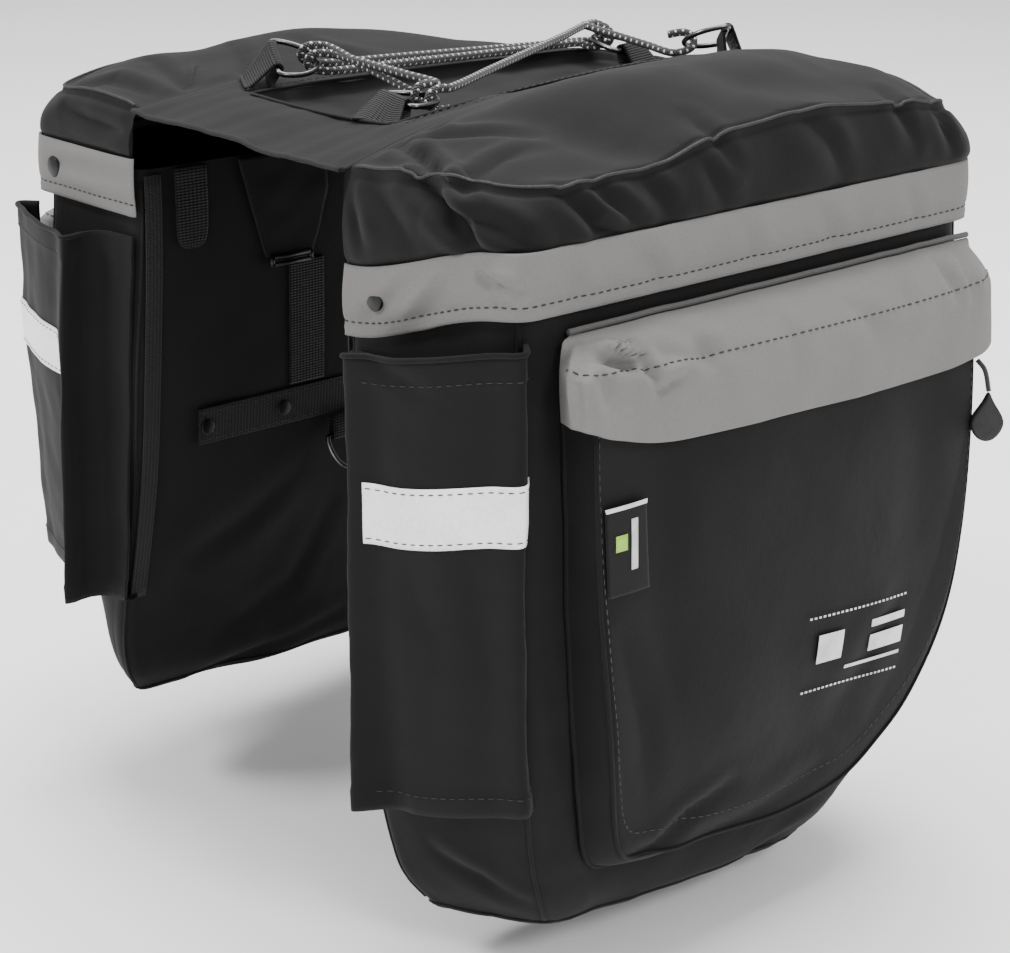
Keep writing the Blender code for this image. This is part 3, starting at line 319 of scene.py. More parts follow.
def cloth_material(name, colour, pitch=0.0010, sheen=0.35, rough=0.78, weave=0.35, mottle=0.35, dust=0.0):
    """Woven cloth: over-and-under threads, a fine grain, broad uneven tone and light fluff."""
    f = Finish(name, rough, sheen=sheen, spec=0.16)
    across, along = (f.sine(axis, math.pi * 0.1 / pitch) for axis in f.uv_axes()[:2])
    woven = f.calc("ABSOLUTE", f.times(across, along))
    where = f.place()
    grain = f.noise(where, 900.0, 2.0, 0.6)
    broad = f.noise(where, 26.0, 4.0, 0.55)
    tone = f.plus(f.times(grain, 0.7), f.times(broad, 0.5))
    tone = f.plus(tone, f.times(woven, 0.08))
    low, high = scaled(colour, 1 - mottle), scaled(colour, 1 + mottle)
    shade = f.ramp(tone, ((0.35, low), (0.62, colour), (0.95, high)))
    if dust:
        some = f.ramp(f.noise(where, 240.0, 3.0, 0.7), ((0.68, (0, 0, 0)), (0.78, (dust, dust, dust))))
        mix = f.node("Mix", data_type="RGBA", blend_type="ADD", Factor=1.0)
        f.tree.links.new(shade, mix.inputs["A"])
        f.tree.links.new(some, mix.inputs["B"])
        shade = mix.outputs["Result"]
    height = f.plus(f.times(woven, 0.4), f.times(grain, 1.2))
    return f.done(shade, f.bump(height, weave, 0.0004, f.bump(broad, 0.25, 0.0035)))


def web_material(name, colour, pitch=0.0016):
    """Ribbed webbing: ribs across its length, fine threads along it; its colour follows the rib height, with
    painted shade in the grooves and painted highlights on the crests.
    """
    f = Finish(name, 0.68, sheen=0.06, spec=0.22)
    u, v = f.uv_axes()[:2]
    height = f.plus(f.sine(v, 2 * math.pi * 0.1 / pitch), f.times(f.sine(u, 2 * math.pi * 0.1 / 0.0022), 0.5))
    tone = f.times(f.plus(height, 1.5), 0.33)
    # painted shade and highlight: the colour is darker in the rib grooves and lighter on the rib crests,
    # following the bump height
    shade = f.ramp(tone, ((0.1, scaled(colour, 0.45)), (0.9, scaled(colour, 1.7))))
    return f.done(shade, f.bump(height, 0.7, 0.0005))


def cord_material(name, colour, fleck, share=0.30, lead=0.0042):
    """Braided sleeve with pale threads crossing at regular places."""
    f = Finish(name, 0.6, sheen=0.2, spec=0.4)
    u, v = f.uv_axes()[:2]
    turn, run = f.times(u, 2 * math.pi), f.times(v, 2 * math.pi * 0.1 / lead)

    def pair(turns, runs):
        return [f.calc("SINE", f.calc(way, f.times(turn, turns), f.times(run, runs)))
                for way in ("ADD", "SUBTRACT")]

    cross = f.times(*(f.calc("MAXIMUM", wave, 0.0) for wave in pair(2.0, 1.0)))
    shade = f.ramp(cross, ((share, colour), (share + 0.12, fleck)))
    return f.done(shade, f.bump(f.plus(*pair(6.0, 3.0)), 0.6, 0.0004))


def hard_material(name, colour, rough, metal, scale=300.0, bump_depth=0.0001, spec=0.5):
    """Metal, plastic or rubber with a fine uneven surface and rubbed places."""
    f = Finish(name, rough, metal, spec=spec)
    where = f.place()
    fine = f.noise(where, scale, 4.0, 0.6)
    shade = f.ramp(f.noise(where, 60.0, 3.0, 0.5), ((0.3, scaled(colour, 0.75)), (0.7, scaled(colour, 1.3))))
    worn = f.ramp(fine, ((0.3, (rough * 0.8,) * 3), (0.75, (min(rough * 1.3, 1.0),) * 3)))
    f.feed(f.shader.inputs["Roughness"], worn)
    return f.done(shade, f.bump(fine, 0.5, bump_depth))


def tape_material(name):
    """Pale retroreflective tape: fine prism cells under a smooth film."""
    f = Finish(name, 0.38)
    uv = f.uv()
    cells = f.node("TexVoronoi", Scale=48.0, Vector=uv).outputs["Distance"]
    tone = f.plus(f.times(cells, 0.35), f.noise(uv, 3.0, 3.0, 0.5))
    shade = f.ramp(tone, ((0.35, (0.74, 0.74, 0.73)), (0.8, (0.90, 0.90, 0.89))))
    return f.done(shade, f.bump(tone, 0.2, 0.0003))


BLACK = (0.0034, 0.0034, 0.0037)
MATS = {
    "cloth": cloth_material("black_oxford", BLACK, sheen=0.05, weave=0.22, dust=0.003),
    "grey": cloth_material("grey_oxford", (0.150, 0.146, 0.141), sheen=0.04, mottle=0.10, weave=0.22),
    "piping": cloth_material("grey_piping", (0.085, 0.083, 0.080), sheen=0.06, mottle=0.12, weave=0.30),
    "web": web_material("black_webbing", (0.0042, 0.0042, 0.0045)),
    "bind": web_material("black_binding", (0.005, 0.005, 0.0055), 0.0009),
    "bungee": cord_material("bungee_sleeve", (0.012, 0.012, 0.012), (0.62, 0.62, 0.60)),
    "pull": cord_material("pull_cord_sleeve", (0.015, 0.015, 0.015), (0.03, 0.03, 0.03), 0.5, 0.003),
    "metal": hard_material("gunmetal", (0.11, 0.11, 0.115), 0.28, 1.0),
    "rivet": hard_material("blackened_metal", (0.006, 0.006, 0.0065), 0.38, 0.3, spec=0.3),
    "plastic": hard_material("black_plastic", (0.008, 0.008, 0.008), 0.45, 0.0, spec=0.3),
    "rubber": hard_material("black_rubber", (0.010, 0.010, 0.010), 0.55, 0.0, 500.0, 0.00015, 0.35),
    "tape": tape_material("reflective_tape"),
    "thread": hard_material("black_thread", (0.012, 0.012, 0.012), 0.7, 0.0, 900.0),
    "pale_thread": hard_material("grey_thread", (0.030, 0.030, 0.030), 0.7, 0.0, 900.0),
    "print": hard_material("pale_print", (0.62, 0.62, 0.61), 0.5, 0.0, 500.0),
    "green_print": hard_material("green_print", (0.30, 0.52, 0.05), 0.5, 0.0, 500.0),
    "label": cloth_material("woven_label", (0.004, 0.004, 0.004), pitch=0.0006, sheen=0.05, rough=0.7),
}


# Shape helpers
def x_at(depth):
    return RACK_HALF + BAG_DEEP * depth


def y_at(along):
    return REAR_Y + BAG_LONG * along


def smooth(share):
    share = np.clip(share, 0.0, 1.0)
    return share * share * (3.0 - 2.0 * share)


def between(stations, table, at):
    """Catmull-Rom reading of a table's rows at places between its stations."""
    s = np.asarray(stations, float)
    rows = np.asarray(table, float)
    if rows.ndim == 1:
        return between(s, rows[:, None], at)[..., 0]
    at = np.clip(np.asarray(at, float), s[0], s[-1])
    i = np.clip(np.searchsorted(s, at, side="right") - 1, 0, len(s) - 2)
    before = np.maximum(np.arange(len(s)) - 1, 0)
    after = np.minimum(np.arange(len(s)) + 1, len(s) - 1)
    slopes = (rows[after] - rows[before]) / (s[after] - s[before])[:, None]
    span = s[i + 1] - s[i]
    t = (at - s[i]) / span
    t, span = t[..., None], span[..., None]
    return ((2 * t**3 - 3 * t**2 + 1) * rows[i] + (3 * t**2 - 2 * t**3) * rows[i + 1]
            + (t**3 - 2 * t**2 + t) * span * slopes[i] + (t**3 - t**2) * span * slopes[i + 1])


def section(side, down):
    return between(BAG_SECTIONS[side][:, 0], BAG_SECTIONS[side][:, 1:], down)


def top_height(x, y):
    x, y = np.broadcast_arrays(np.asarray(x, float), np.asarray(y, float))
    rows = between(TOP_ALONG, TOP_SHARES, (y - REAR_Y) / BAG_LONG)
    across = between(TOP_ACROSS, np.eye(len(TOP_ACROSS)), x / (RACK_HALF + BAG_DEEP))
    rise = np.sum(rows * across, axis=-1)
    for sign, mid, along, turn, wide, long, high in LID_FOLDS:
        dx = (x - sign * mid * (RACK_HALF + BAG_DEEP)) / LID_RISE
        dy = (y - REAR_Y - BAG_LONG * along) / LID_RISE
        a = math.radians(turn)
        p, q = dx * math.sin(a) + dy * math.cos(a), dx * math.cos(a) - dy * math.sin(a)
        rise = rise + high * np.exp(-(q / wide)**2 - (p / long)**2)
    return LID_RISE * rise


def window_height(x, y):
    edge = 0.005
    inside = smooth((WINDOW_HALF - np.abs(x)) / edge)
    inside = inside * smooth((y - WINDOW_REAR) / edge) * smooth((WINDOW_FRONT - y) / edge)
    top = top_height(x, y)
    sunk = CLOTH + np.maximum(top - WINDOW_DROP - CLOTH, 0.0) * smooth(np.abs(x) / WINDOW_HALF)
    return top * (1 - inside) + sunk * inside


def drooped(side, depth, y):
    return (SIDES[side]["droop"] * smooth(1.0 - depth / BAG_DEEP)
            * smooth(1.0 - (y - REAR_Y) / (0.45 * BAG_LONG)))


def rounded_loop(corners, radii, bulges, per_side, per_corner):
    pts = []
    for i in range(4):
        here = np.array(corners[i])
        to_last = np.array(corners[i - 1]) - here
        to_next = np.array(corners[(i + 1) % 4]) - here
        len_last, len_next = np.linalg.norm(to_last), np.linalg.norm(to_next)
        start = here + to_last / len_last * min(radii[i], 0.45 * len_last)
        stop = here + to_next / len_next * min(radii[i], 0.45 * len_next)
        t = np.linspace(0, 1, per_corner + 1)[:, None]
        pts.append((1 - t)**2 * start + 2 * t * (1 - t) * here + t * t * stop)
        following = np.array(corners[(i + 1) % 4])
        far = following - to_next / len_next * min(radii[(i + 1) % 4], 0.45 * len_next)
        run = far - stop
        normal = np.array((run[1], -run[0])) / np.linalg.norm(run)
        t = np.linspace(0, 1, per_side[i] + 1)[1:-1, None]
        pts.append(stop + run * t + normal * bulges[i] * 4 * t * (1 - t))
    return np.vstack(pts)


def level(side, down, x, y):
    tall = BAG_TALL * SIDES[side]["tall"]
    along = (y - REAR_Y) / BAG_LONG
    down = np.clip(down, 0.0, 1.0)
    belly = SIDES[side]["sag"] * smooth((down - 0.6) / 0.4) * np.sin(math.pi * np.clip(along, 0.0, 1.0))
    hang = drooped(side, x - RACK_HALF, y) * (1.0 - 0.8 * smooth(down))
    return BODY_TOP - tall * down - hang - belly


def down_at(side, depth, y, z):
    tall = BAG_TALL * SIDES[side]["tall"]
    down = (BODY_TOP - z) / tall
    for _ in range(6):
        down = np.clip(down + (level(side, down, RACK_HALF + depth, y) - z) / tall, 0.0, 0.98)
    return down


def inner_x(side, y, z):
    return RACK_HALF + BAG_DEEP * section(side, down_at(side, 0.0, y, z))[..., 0]


def rear_y(side, depth, z):
    row = section(side, down_at(side, BAG_DEEP * depth, REAR_Y, z))
    return REAR_Y + BAG_LONG * (row[..., 3] + (row[..., 4] - row[..., 3]) * depth)


def outer_x(side, z, along):
    down = down_at(side, BAG_DEEP, y_at(along), z)
    row = section(side, down)
    share = np.clip((along - row[..., 4]) / (row[..., 5] - row[..., 4]), 0.0, 1.0)
    face = row[..., 1] + (row[..., 2] - row[..., 1]) * share
    return x_at(face) + WALL_BULGE * smooth(down * 1.6) * 4 * share * (1 - share)


def panel_x(side, along, down):
    z = POCKET_MOUTH - POCKET_TALL * SIDES[side]["tall"] * down
    out = POCKET_OUT * (1.0 - 0.25 * smooth((down - 0.6) / 0.4))
    half = 0.42 * (1.0 - 0.5 * np.maximum(down, 0.0)**3)
    across = np.maximum(1.0 - ((along - 0.52 + 0.1 * down) / half)**2, 0.0)
    fullness = np.sin(math.pi * np.clip(0.12 + 0.85 * down, 0.0, 1.0))
    for middle, height, wide, tall, rise in POCKET_FOLDS:
        out = out + POCKET_OUT * rise * np.exp(-((along - middle) / wide)**2 - ((down - height) / tall)**2)
    return outer_x(side, z, along) + 0.003 + out + POCKET_SWELL * across * fullness


def ripple(points, waves, seed, size):
    """Smooth uneven offset for points: a sum of seeded plane waves about 1 high."""
    rng = np.random.default_rng(seed)
    total = np.zeros(points.shape[:-1])
    for _ in range(waves):
        way = rng.normal(size=3)
        way /= np.linalg.norm(way)
        length = size * rng.uniform(0.6, 1.8)
        total += np.sin(points @ way * 2 * math.pi / length + rng.uniform(0, 6.28))
    return total / math.sqrt(waves)


class Cloth:
    """A grid of points that becomes one cloth piece. Rows run along axis 0."""

    def __init__(self, points, closed=False, flip=False):
        self.p = np.asarray(points, float)
        self.closed = closed
        self.flip = flip
        self.free = 1.0

    def normals(self):
        p = self.p
        if self.closed:
            du = np.roll(p, -1, 1) - np.roll(p, 1, 1)
        else:
            du = np.gradient(p, axis=1)
        dv = np.gradient(p, axis=0)
        n = np.cross(dv, du)
        n /= np.maximum(np.linalg.norm(n, axis=2, keepdims=True), 1e-12)
        return -n if self.flip else n

    def push(self, amount):
        self.p = self.p + self.normals() * np.asarray(amount)[..., None]
        return self

    def wrinkle(self, high, size, seed, waves=14, mask=1.0):
        return self.push(high * mask * self.free * ripple(self.p, waves, seed, size))

    def nearest(self, pixel, reach=14):
        seen, far = seen_at(self.p)
        gap = np.linalg.norm(seen - np.array(pixel, float), axis=2)
        score = gap + (gap > reach) * 1000 + (far - far.min()) * 60
        return self.p.reshape(-1, 3)[int(np.argmin(score))]

    def crease(self, pixels, wide, deep, ridge=0.6, taper=True):
        """A fold that follows photo pixels over the surface: a valley with a soft rise beside it."""
        path = np.array([self.nearest(q) for q in pixels])
        best = np.full(self.p.shape[:2], 1e9)
        side = np.zeros(self.p.shape[:2])
        share = np.zeros(self.p.shape[:2])
        lengths = np.linalg.norm(np.diff(path, axis=0), axis=1)
        total = max(lengths.sum(), 1e-6)
        done = 0.0
        normal = self.normals()
        for a, b, length in zip(path, path[1:], lengths):
            if length < 1e-6:
                continue
            run = (b - a) / length
            rel = self.p - a
            t = np.clip(rel @ run, 0, length)
            off = rel - t[..., None] * run
            gap = np.linalg.norm(off, axis=2)
            near = gap < best
            best = np.where(near, gap, best)
            across = np.cross(normal, run)
            side = np.where(near, np.sum(off * across, axis=2), side)
            share = np.where(near, (done + t) / total, share)
            done += length
        strength = np.sin(math.pi * np.clip(share * 0.86 + 0.07, 0, 1))**0.7 if taper else 1.0
        valley = -0.5 * np.exp(-(best / wide)**2)
        valley = valley - 0.5 * np.exp(-np.sqrt(best**2 + (0.12 * wide)**2) / (0.55 * wide))
        rise = ridge * np.exp(-((best - 1.9 * wide) / (1.1 * wide))**2) * (side > 0)
        rise = rise + 0.5 * ridge * np.exp(-((best - 2.0 * wide) / (1.3 * wide))**2) * (side < 0)
        return self.push(deep * self.free * strength * (valley + rise))

    def soften(self, side, seed, waves, folds=(), mask=1.0):
        """Seeded wrinkles of (height, size), then the folds of a table."""
        for k, (high, size) in enumerate(waves):
            self.wrinkle(high, size, seed + 2 * k + (side == "left"), mask=mask)
        for pixels, wide, deep in folds:
            self.crease(pixels, wide, deep)

    def build(self, name, mat, nodes=(), thick=0.0, close_end=False):
        p = self.p
        rows, cols = p.shape[:2]
        verts = [tuple(v) for v in p.reshape(-1, 3)]
        faces = []
        spans = cols if self.closed else cols - 1
        steps = np.linalg.norm(np.diff(p, axis=1, append=p[:, :1] if self.closed else p[:, -1:]), axis=2)
        u = np.concatenate((np.zeros((rows, 1)), np.cumsum(steps, axis=1)), axis=1)
        u = u.mean(axis=0, keepdims=True) + np.zeros((rows, 1))
        drops = np.cumsum(np.linalg.norm(np.diff(p, axis=0), axis=2), axis=0)
        v = np.concatenate((np.zeros((1, cols)), drops)).mean(axis=1)
        uvs = []
        for i in range(rows - 1):
            for j in range(spans):
                k = (j + 1) % cols
                quad = [(i, j, j), (i + 1, j, j), (i + 1, k, j + 1), (i, k, j + 1)]
                if self.flip:
                    quad.reverse()
                faces.append([r * cols + c for r, c, _ in quad])
                uvs += [(u[r, m] * 10, v[r] * 10) for r, _, m in quad]
        if close_end:
            centre = len(verts)
            verts.append(tuple(p[-1].mean(axis=0)))
            for j in range(spans):
                k = (j + 1) % cols
                face = [(rows - 1) * cols + j, centre, (rows - 1) * cols + k]
                low = v[-1] * 10
                uvs_face = [(u[0, j] * 10, low), (u[0, j] * 10, low + 0.1), (u[0, j + 1] * 10, low)]
                if self.flip:
                    face.reverse()
                    uvs_face.reverse()
                faces.append(face)
                uvs += uvs_face
        obj = add_mesh(name, verts, faces, mat, uvs)
        if thick:
            thicken(obj, thick)
        return dress(obj, nodes)


def dress(obj, nodes=()):
    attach(obj, "root")
    if nodes:
        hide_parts(*nodes)
    return obj


def thicken(obj, thick):
    shell = obj.modifiers.new("cloth", "SOLIDIFY")
    shell.thickness = thick
    shell.offset = -1.0


def rope(line, per_span):
    """Catmull-Rom line through chosen points."""
    line = np.asarray(line, float)
    s = np.concatenate(([0], np.cumsum(np.linalg.norm(np.diff(line, axis=0), axis=1))))
    at = np.concatenate([np.linspace(a, b, per_span, endpoint=False) for a, b in zip(s, s[1:])] + [s[-1:]])
    return between(s, line, at)


def tube(name, line, radius, mat, nodes=(), sides=10, closed=False, flat=1.0, up=None):
    """Round or flattened tube along a line, with its length in the texture's second direction."""
    line = np.asarray(line, float)
    count = len(line)
    if closed:
        run = np.roll(line, -1, 0) - np.roll(line, 1, 0)
    else:
        run = np.gradient(line, axis=0)
    run /= np.maximum(np.linalg.norm(run, axis=1, keepdims=True), 1e-12)
    radius = np.broadcast_to(np.asarray(radius, float), (count,))
    first = np.array(up if up is not None else (0, 0, 1.0), float)
    rings = []
    across = None
    for k in range(count):
        guide = np.asarray(first if first.ndim == 1 else first[k], float)
        if across is None or up is not None:
            side = np.cross(run[k], guide)
            if np.linalg.norm(side) < 1e-4:
                side = np.cross(run[k], (1.0, 0.2, 0))
        else:
            side = across - run[k] * (across @ run[k])
        across = side / np.linalg.norm(side)
        other = np.cross(across, run[k])
        a = np.linspace(0, 2 * math.pi, sides, endpoint=False)[:, None]
        rings.append(line[k] + radius[k] * (np.cos(a) * across + flat * np.sin(a) * other))
    rings = np.array(rings)
    verts = [tuple(v) for v in rings.reshape(-1, 3)]
    length = np.concatenate(([0], np.cumsum(np.linalg.norm(np.diff(line, axis=0), axis=1))))
    faces, uvs = [], []
    for i in range(count if closed else count - 1):
        n = (i + 1) % count
        end = length[i + 1] if i + 1 < count else length[i] + np.linalg.norm(line[0] - line[-1])
        for j in range(sides):
            k = (j + 1) % sides
            faces.append([i * sides + j, i * sides + k, n * sides + k, n * sides + j])
            uvs += [(j / sides, length[i] * 10), ((j + 1) / sides, length[i] * 10),
                    ((j + 1) / sides, end * 10), (j / sides, end * 10)]
    if not closed:
        for row, order in ((0, -1), (count - 1, 1)):
            faces.append([row * sides + j for j in range(sides)][::order])
            uvs += [(0.5, length[row] * 10)] * sides
    return dress(add_mesh(name, verts, faces, mat, uvs), nodes)


def stitches(name, lines, mat="thread", length=0.0034, gap=0.0016, radius=0.00042, lift=0.0002):
    """Short sewn threads along lines of points and normals."""
    verts, faces = [], []
    for line, normal in lines:
        line = np.asarray(line, float)
        normal = np.asarray(normal, float)
        run = np.concatenate(([0], np.cumsum(np.linalg.norm(np.diff(line, axis=0), axis=1))))
        count = max(int(run[-1] / (length + gap)), 1)
        for k in range(count):
            start = run[-1] * (k + 0.15) / count
            rings = []
            for t, r in ((0.0, 0.35), (0.2, 0.9), (0.5, 1.0), (0.8, 0.9), (1.0, 0.35)):
                at = min(start + length * t, run[-1])
                spot = np.array([np.interp(at, run, line[:, c]) for c in range(3)])
                up = np.array([np.interp(at, run, normal[:, c]) for c in range(3)])
                rings.append((spot + up * lift * (1.0 if 0 < t < 1 else -1.0), up, r))
            way = rings[-1][0] - rings[0][0]
            way /= max(np.linalg.norm(way), 1e-9)
            base = len(verts)
            for spot, up, r in rings:
                across = np.cross(way, up)
                across /= max(np.linalg.norm(across), 1e-9)
                for a in range(6):
                    c, s = math.cos(math.pi * a / 3), math.sin(math.pi * a / 3)
                    verts.append(tuple(spot + radius * r * (c * across + s * 0.8 * up)))
            for i in range(4):
                for j in range(6):
                    m = (j + 1) % 6
                    here, above = base + i * 6, base + i * 6 + 6
                    faces.append((here + j, here + m, above + m, above + j))
            faces.append(tuple(base + j for j in range(6))[::-1])
            faces.append(tuple(base + 24 + j for j in range(6)))
    return dress(add_mesh(name, verts, faces, mat))


def lathe(name, profile, centre, axis, mat, nodes=(), sides=32):
    """A turned form: profile is (radius, height) pairs from its foot up."""
    turn = Vector((0, 0, 1)).rotation_difference(Vector(axis)).to_matrix()
    verts, faces = [], []
    for r, h in profile:
        for k in range(sides):
            a = 2 * math.pi * k / sides
            verts.append(tuple(turn @ Vector((r * math.cos(a), r * math.sin(a), h)) + Vector(centre)))
    for i in range(len(profile) - 1):
        for j in range(sides):
            k = (j + 1) % sides
            faces.append((i * sides + j, i * sides + k, (i + 1) * sides + k, (i + 1) * sides + j))
    faces.append(tuple((len(profile) - 1) * sides + j for j in range(sides)))
    return dress(add_mesh(name, verts, faces, mat), nodes)


def rivet(name, centre, axis, radius, nodes):
    profile = [(radius * a, radius * b) for a, b in (
        (0.98, -0.10), (1.0, 0.04), (0.97, 0.11), (0.90, 0.15), (0.80, 0.17), (0.62, 0.20), (0.40, 0.23),
        (0.20, 0.25), (0.02, 0.26))]
    lathe(name, profile, centre, axis, "rivet", nodes)


def seen_side(side, points):
    """Points of the right bag moved to the given side, with the uneven hang of its lower end."""
    points = np.array(points, float)
    along = (points[..., 1] - REAR_Y) / BAG_LONG
    if side == "left":
        low = smooth((-0.19 - points[..., 2]) / 0.16)
        points[..., 0] += 0.008 * low
        points[..., 2] -= 0.007 * low
    else:
        low = smooth((-0.24 - points[..., 2]) / 0.12)
        lift = 0.008 * np.exp(-((along - 0.30) / 0.22)**2) - 0.007 * np.exp(-((along - 0.80) / 0.14)**2)
        points[..., 1] += 0.003 * low * smooth(along * 2.0 - 1.0)
        points[..., 2] += lift * low
    points[..., 0] *= SIDES[side]["sign"]
    return points


# Bags
def make_bag(side):
    sign = SIDES[side]["sign"]
    per_side, per_corner = (40, 92, 34, 84), 8
    downs = np.concatenate((np.linspace(0, 0.86, 74), np.linspace(0.87, 0.985, 16)))
    rows = []
    for down in downs:
        inner, outer_rear, outer, rear_in, rear_out, front, round_ = section(side, down)
        corners = ((x_at(inner), y_at(rear_in)),
                   (x_at(outer_rear), y_at(rear_out)),
                   (x_at(outer), y_at(front)),
                   (x_at(inner), y_at(front)))
        radius = BAG_DEEP * round_
        swell = float(smooth(down * 1.6))
        loop = rounded_loop(corners, (radius * 0.5, radius, radius * 1.5, radius),
                            (WALL_BULGE * swell, WALL_BULGE * swell, FRONT_BULGE * swell, 0.0),
                            per_side, per_corner)
        z = level(side, down, loop[:, 0], loop[:, 1])
        if down == 0.0:
            z = np.maximum(z, BODY_TOP - 0.03)
        rows.append(np.column_stack((loop, z)))
    last = rows[-1]
    middle = last.mean(axis=0)
    for share in (0.96, 0.88, 0.75, 0.6, 0.4, 0.2):
        ring = middle + (last - middle) * share
        ring[:, 2] -= BAG_TALL * 0.012 * (1 - share)**0.7
        rows.append(ring)
    grid = seen_side(side, rows)
    bag = Cloth(grid, closed=True, flip=sign < 0)
    depth = np.linspace(0, 1, grid.shape[0])[:, None]
    free = smooth(depth * 5) * (0.4 + 0.6 * depth)
    bag.soften(side, 3, ((0.0010, 0.10), (0.0005, 0.035)), BAG_CREASES[side], free)
    bag.build("bag_cloth_" + side, "cloth", ["bag_" + side], close_end=True)
    first_corner = per_corner // 2
    step = per_corner + 1
    corner_cols = {"rear_in": first_corner, "rear_out": step + per_side[0] - 1 + first_corner,
                   "front_out": 2 * step + per_side[0] + per_side[1] - 2 + first_corner,
                   "front_in": 3 * step + sum(per_side[:3]) - 3 + first_corner}
    for name, col in corner_cols.items():
        tube("%s_seam_%s" % (name, side), bag.p[2:88, col], 0.0011, "cloth", sides=8)
    ring = bag.p[88]
    tube("bottom_seam_" + side, ring[::2], 0.0011, "cloth", sides=8, closed=True)


BAG_CREASES = {
    "right": (
        (((540, 520), (545, 640), (560, 760)), 0.0040, 0.0010),
        (((430, 850), (480, 880), (530, 905)), 0.0045, 0.0022),
        (((640, 900), (740, 862), (830, 815)), 0.0040, 0.0016),
        (((545, 770), (556, 850), (575, 905)), 0.0035, 0.0016),
    ),
    "left": (
        (((351, 605), (252, 650), (195, 680)), 0.0045, 0.0022),
        (((300, 470), (250, 520), (180, 560)), 0.0080, 0.0016),
        (((330, 500), (290, 580), (215, 640)), 0.0070, 0.0014),
        (((150, 560), (200, 600), (240, 640)), 0.0060, 0.0014),
    ),
}


def lid_loop(side, outset, per_side, per_corner, rounds=(0.016, 0.024)):
    outer_rear, outer, rear_in, rear_out, front = section(side, 0.0)[1:6]
    outer = x_at(outer) + outset
    outer_rear = x_at(outer_rear) + outset
    rear = y_at(rear_in) - outset
    rear_out = y_at(rear_out) - outset
    front = y_at(front) + outset
    corners = ((RACK_HALF, rear), (outer_rear, rear_out), (outer, front), (RACK_HALF, front))
    return rounded_loop(corners, (0.004, *rounds, 0.004), (0.0, 0.0, 0.0, 0.0), per_side, per_corner)


LID_CREASES = {
    "right": (
        (((418, 178), (436, 196), (450, 216), (468, 240), (486, 262)), 0.0050, 0.0085),
        (((452, 222), (474, 222), (500, 232), (530, 250)), 0.0050, 0.0040),
        (((560, 194), (580, 208), (598, 226), (622, 236)), 0.0042, 0.0052),
        (((596, 190), (620, 206), (640, 226)), 0.0042, 0.0034),
        (((640, 178), (660, 198), (672, 216)), 0.0050, 0.0026),
        (((700, 160), (716, 182), (726, 206)), 0.0056, 0.0024),
        (((392, 142), (420, 158), (446, 176), (466, 192)), 0.0038, 0.0046),
        (((392, 142), (430, 138), (480, 134), (530, 138)), 0.0050, 0.0032),
        (((466, 192), (478, 176), (500, 160), (540, 146)), 0.0050, 0.0026),
        (((404, 118), (430, 128), (452, 122)), 0.0050, 0.0026),
        (((338, 186), (352, 214), (360, 246)), 0.0050, 0.0028),
        (((372, 190), (388, 214), (410, 240)), 0.0060, 0.0024),
        (((690, 118), (716, 138), (735, 166)), 0.0050, 0.0022),
        (((800, 116), (830, 140), (842, 172)), 0.0060, 0.0022),
        (((880, 92), (900, 112), (915, 140)), 0.0050, 0.0026),
        (((930, 104), (946, 126), (955, 150)), 0.0040, 0.0026),
    ),
    "left": (
        (((150, 60), (190, 90), (210, 118)), 0.0060, 0.0034),
        (((230, 45), (250, 75), (262, 95)), 0.0060, 0.0028),
        (((80, 85), (110, 80), (150, 95)), 0.0050, 0.0030),
        (((65, 110), (85, 118), (120, 130)), 0.0040, 0.0030),
        (((300, 40), (330, 52), (372, 58)), 0.0070, 0.0022),
    ),
}


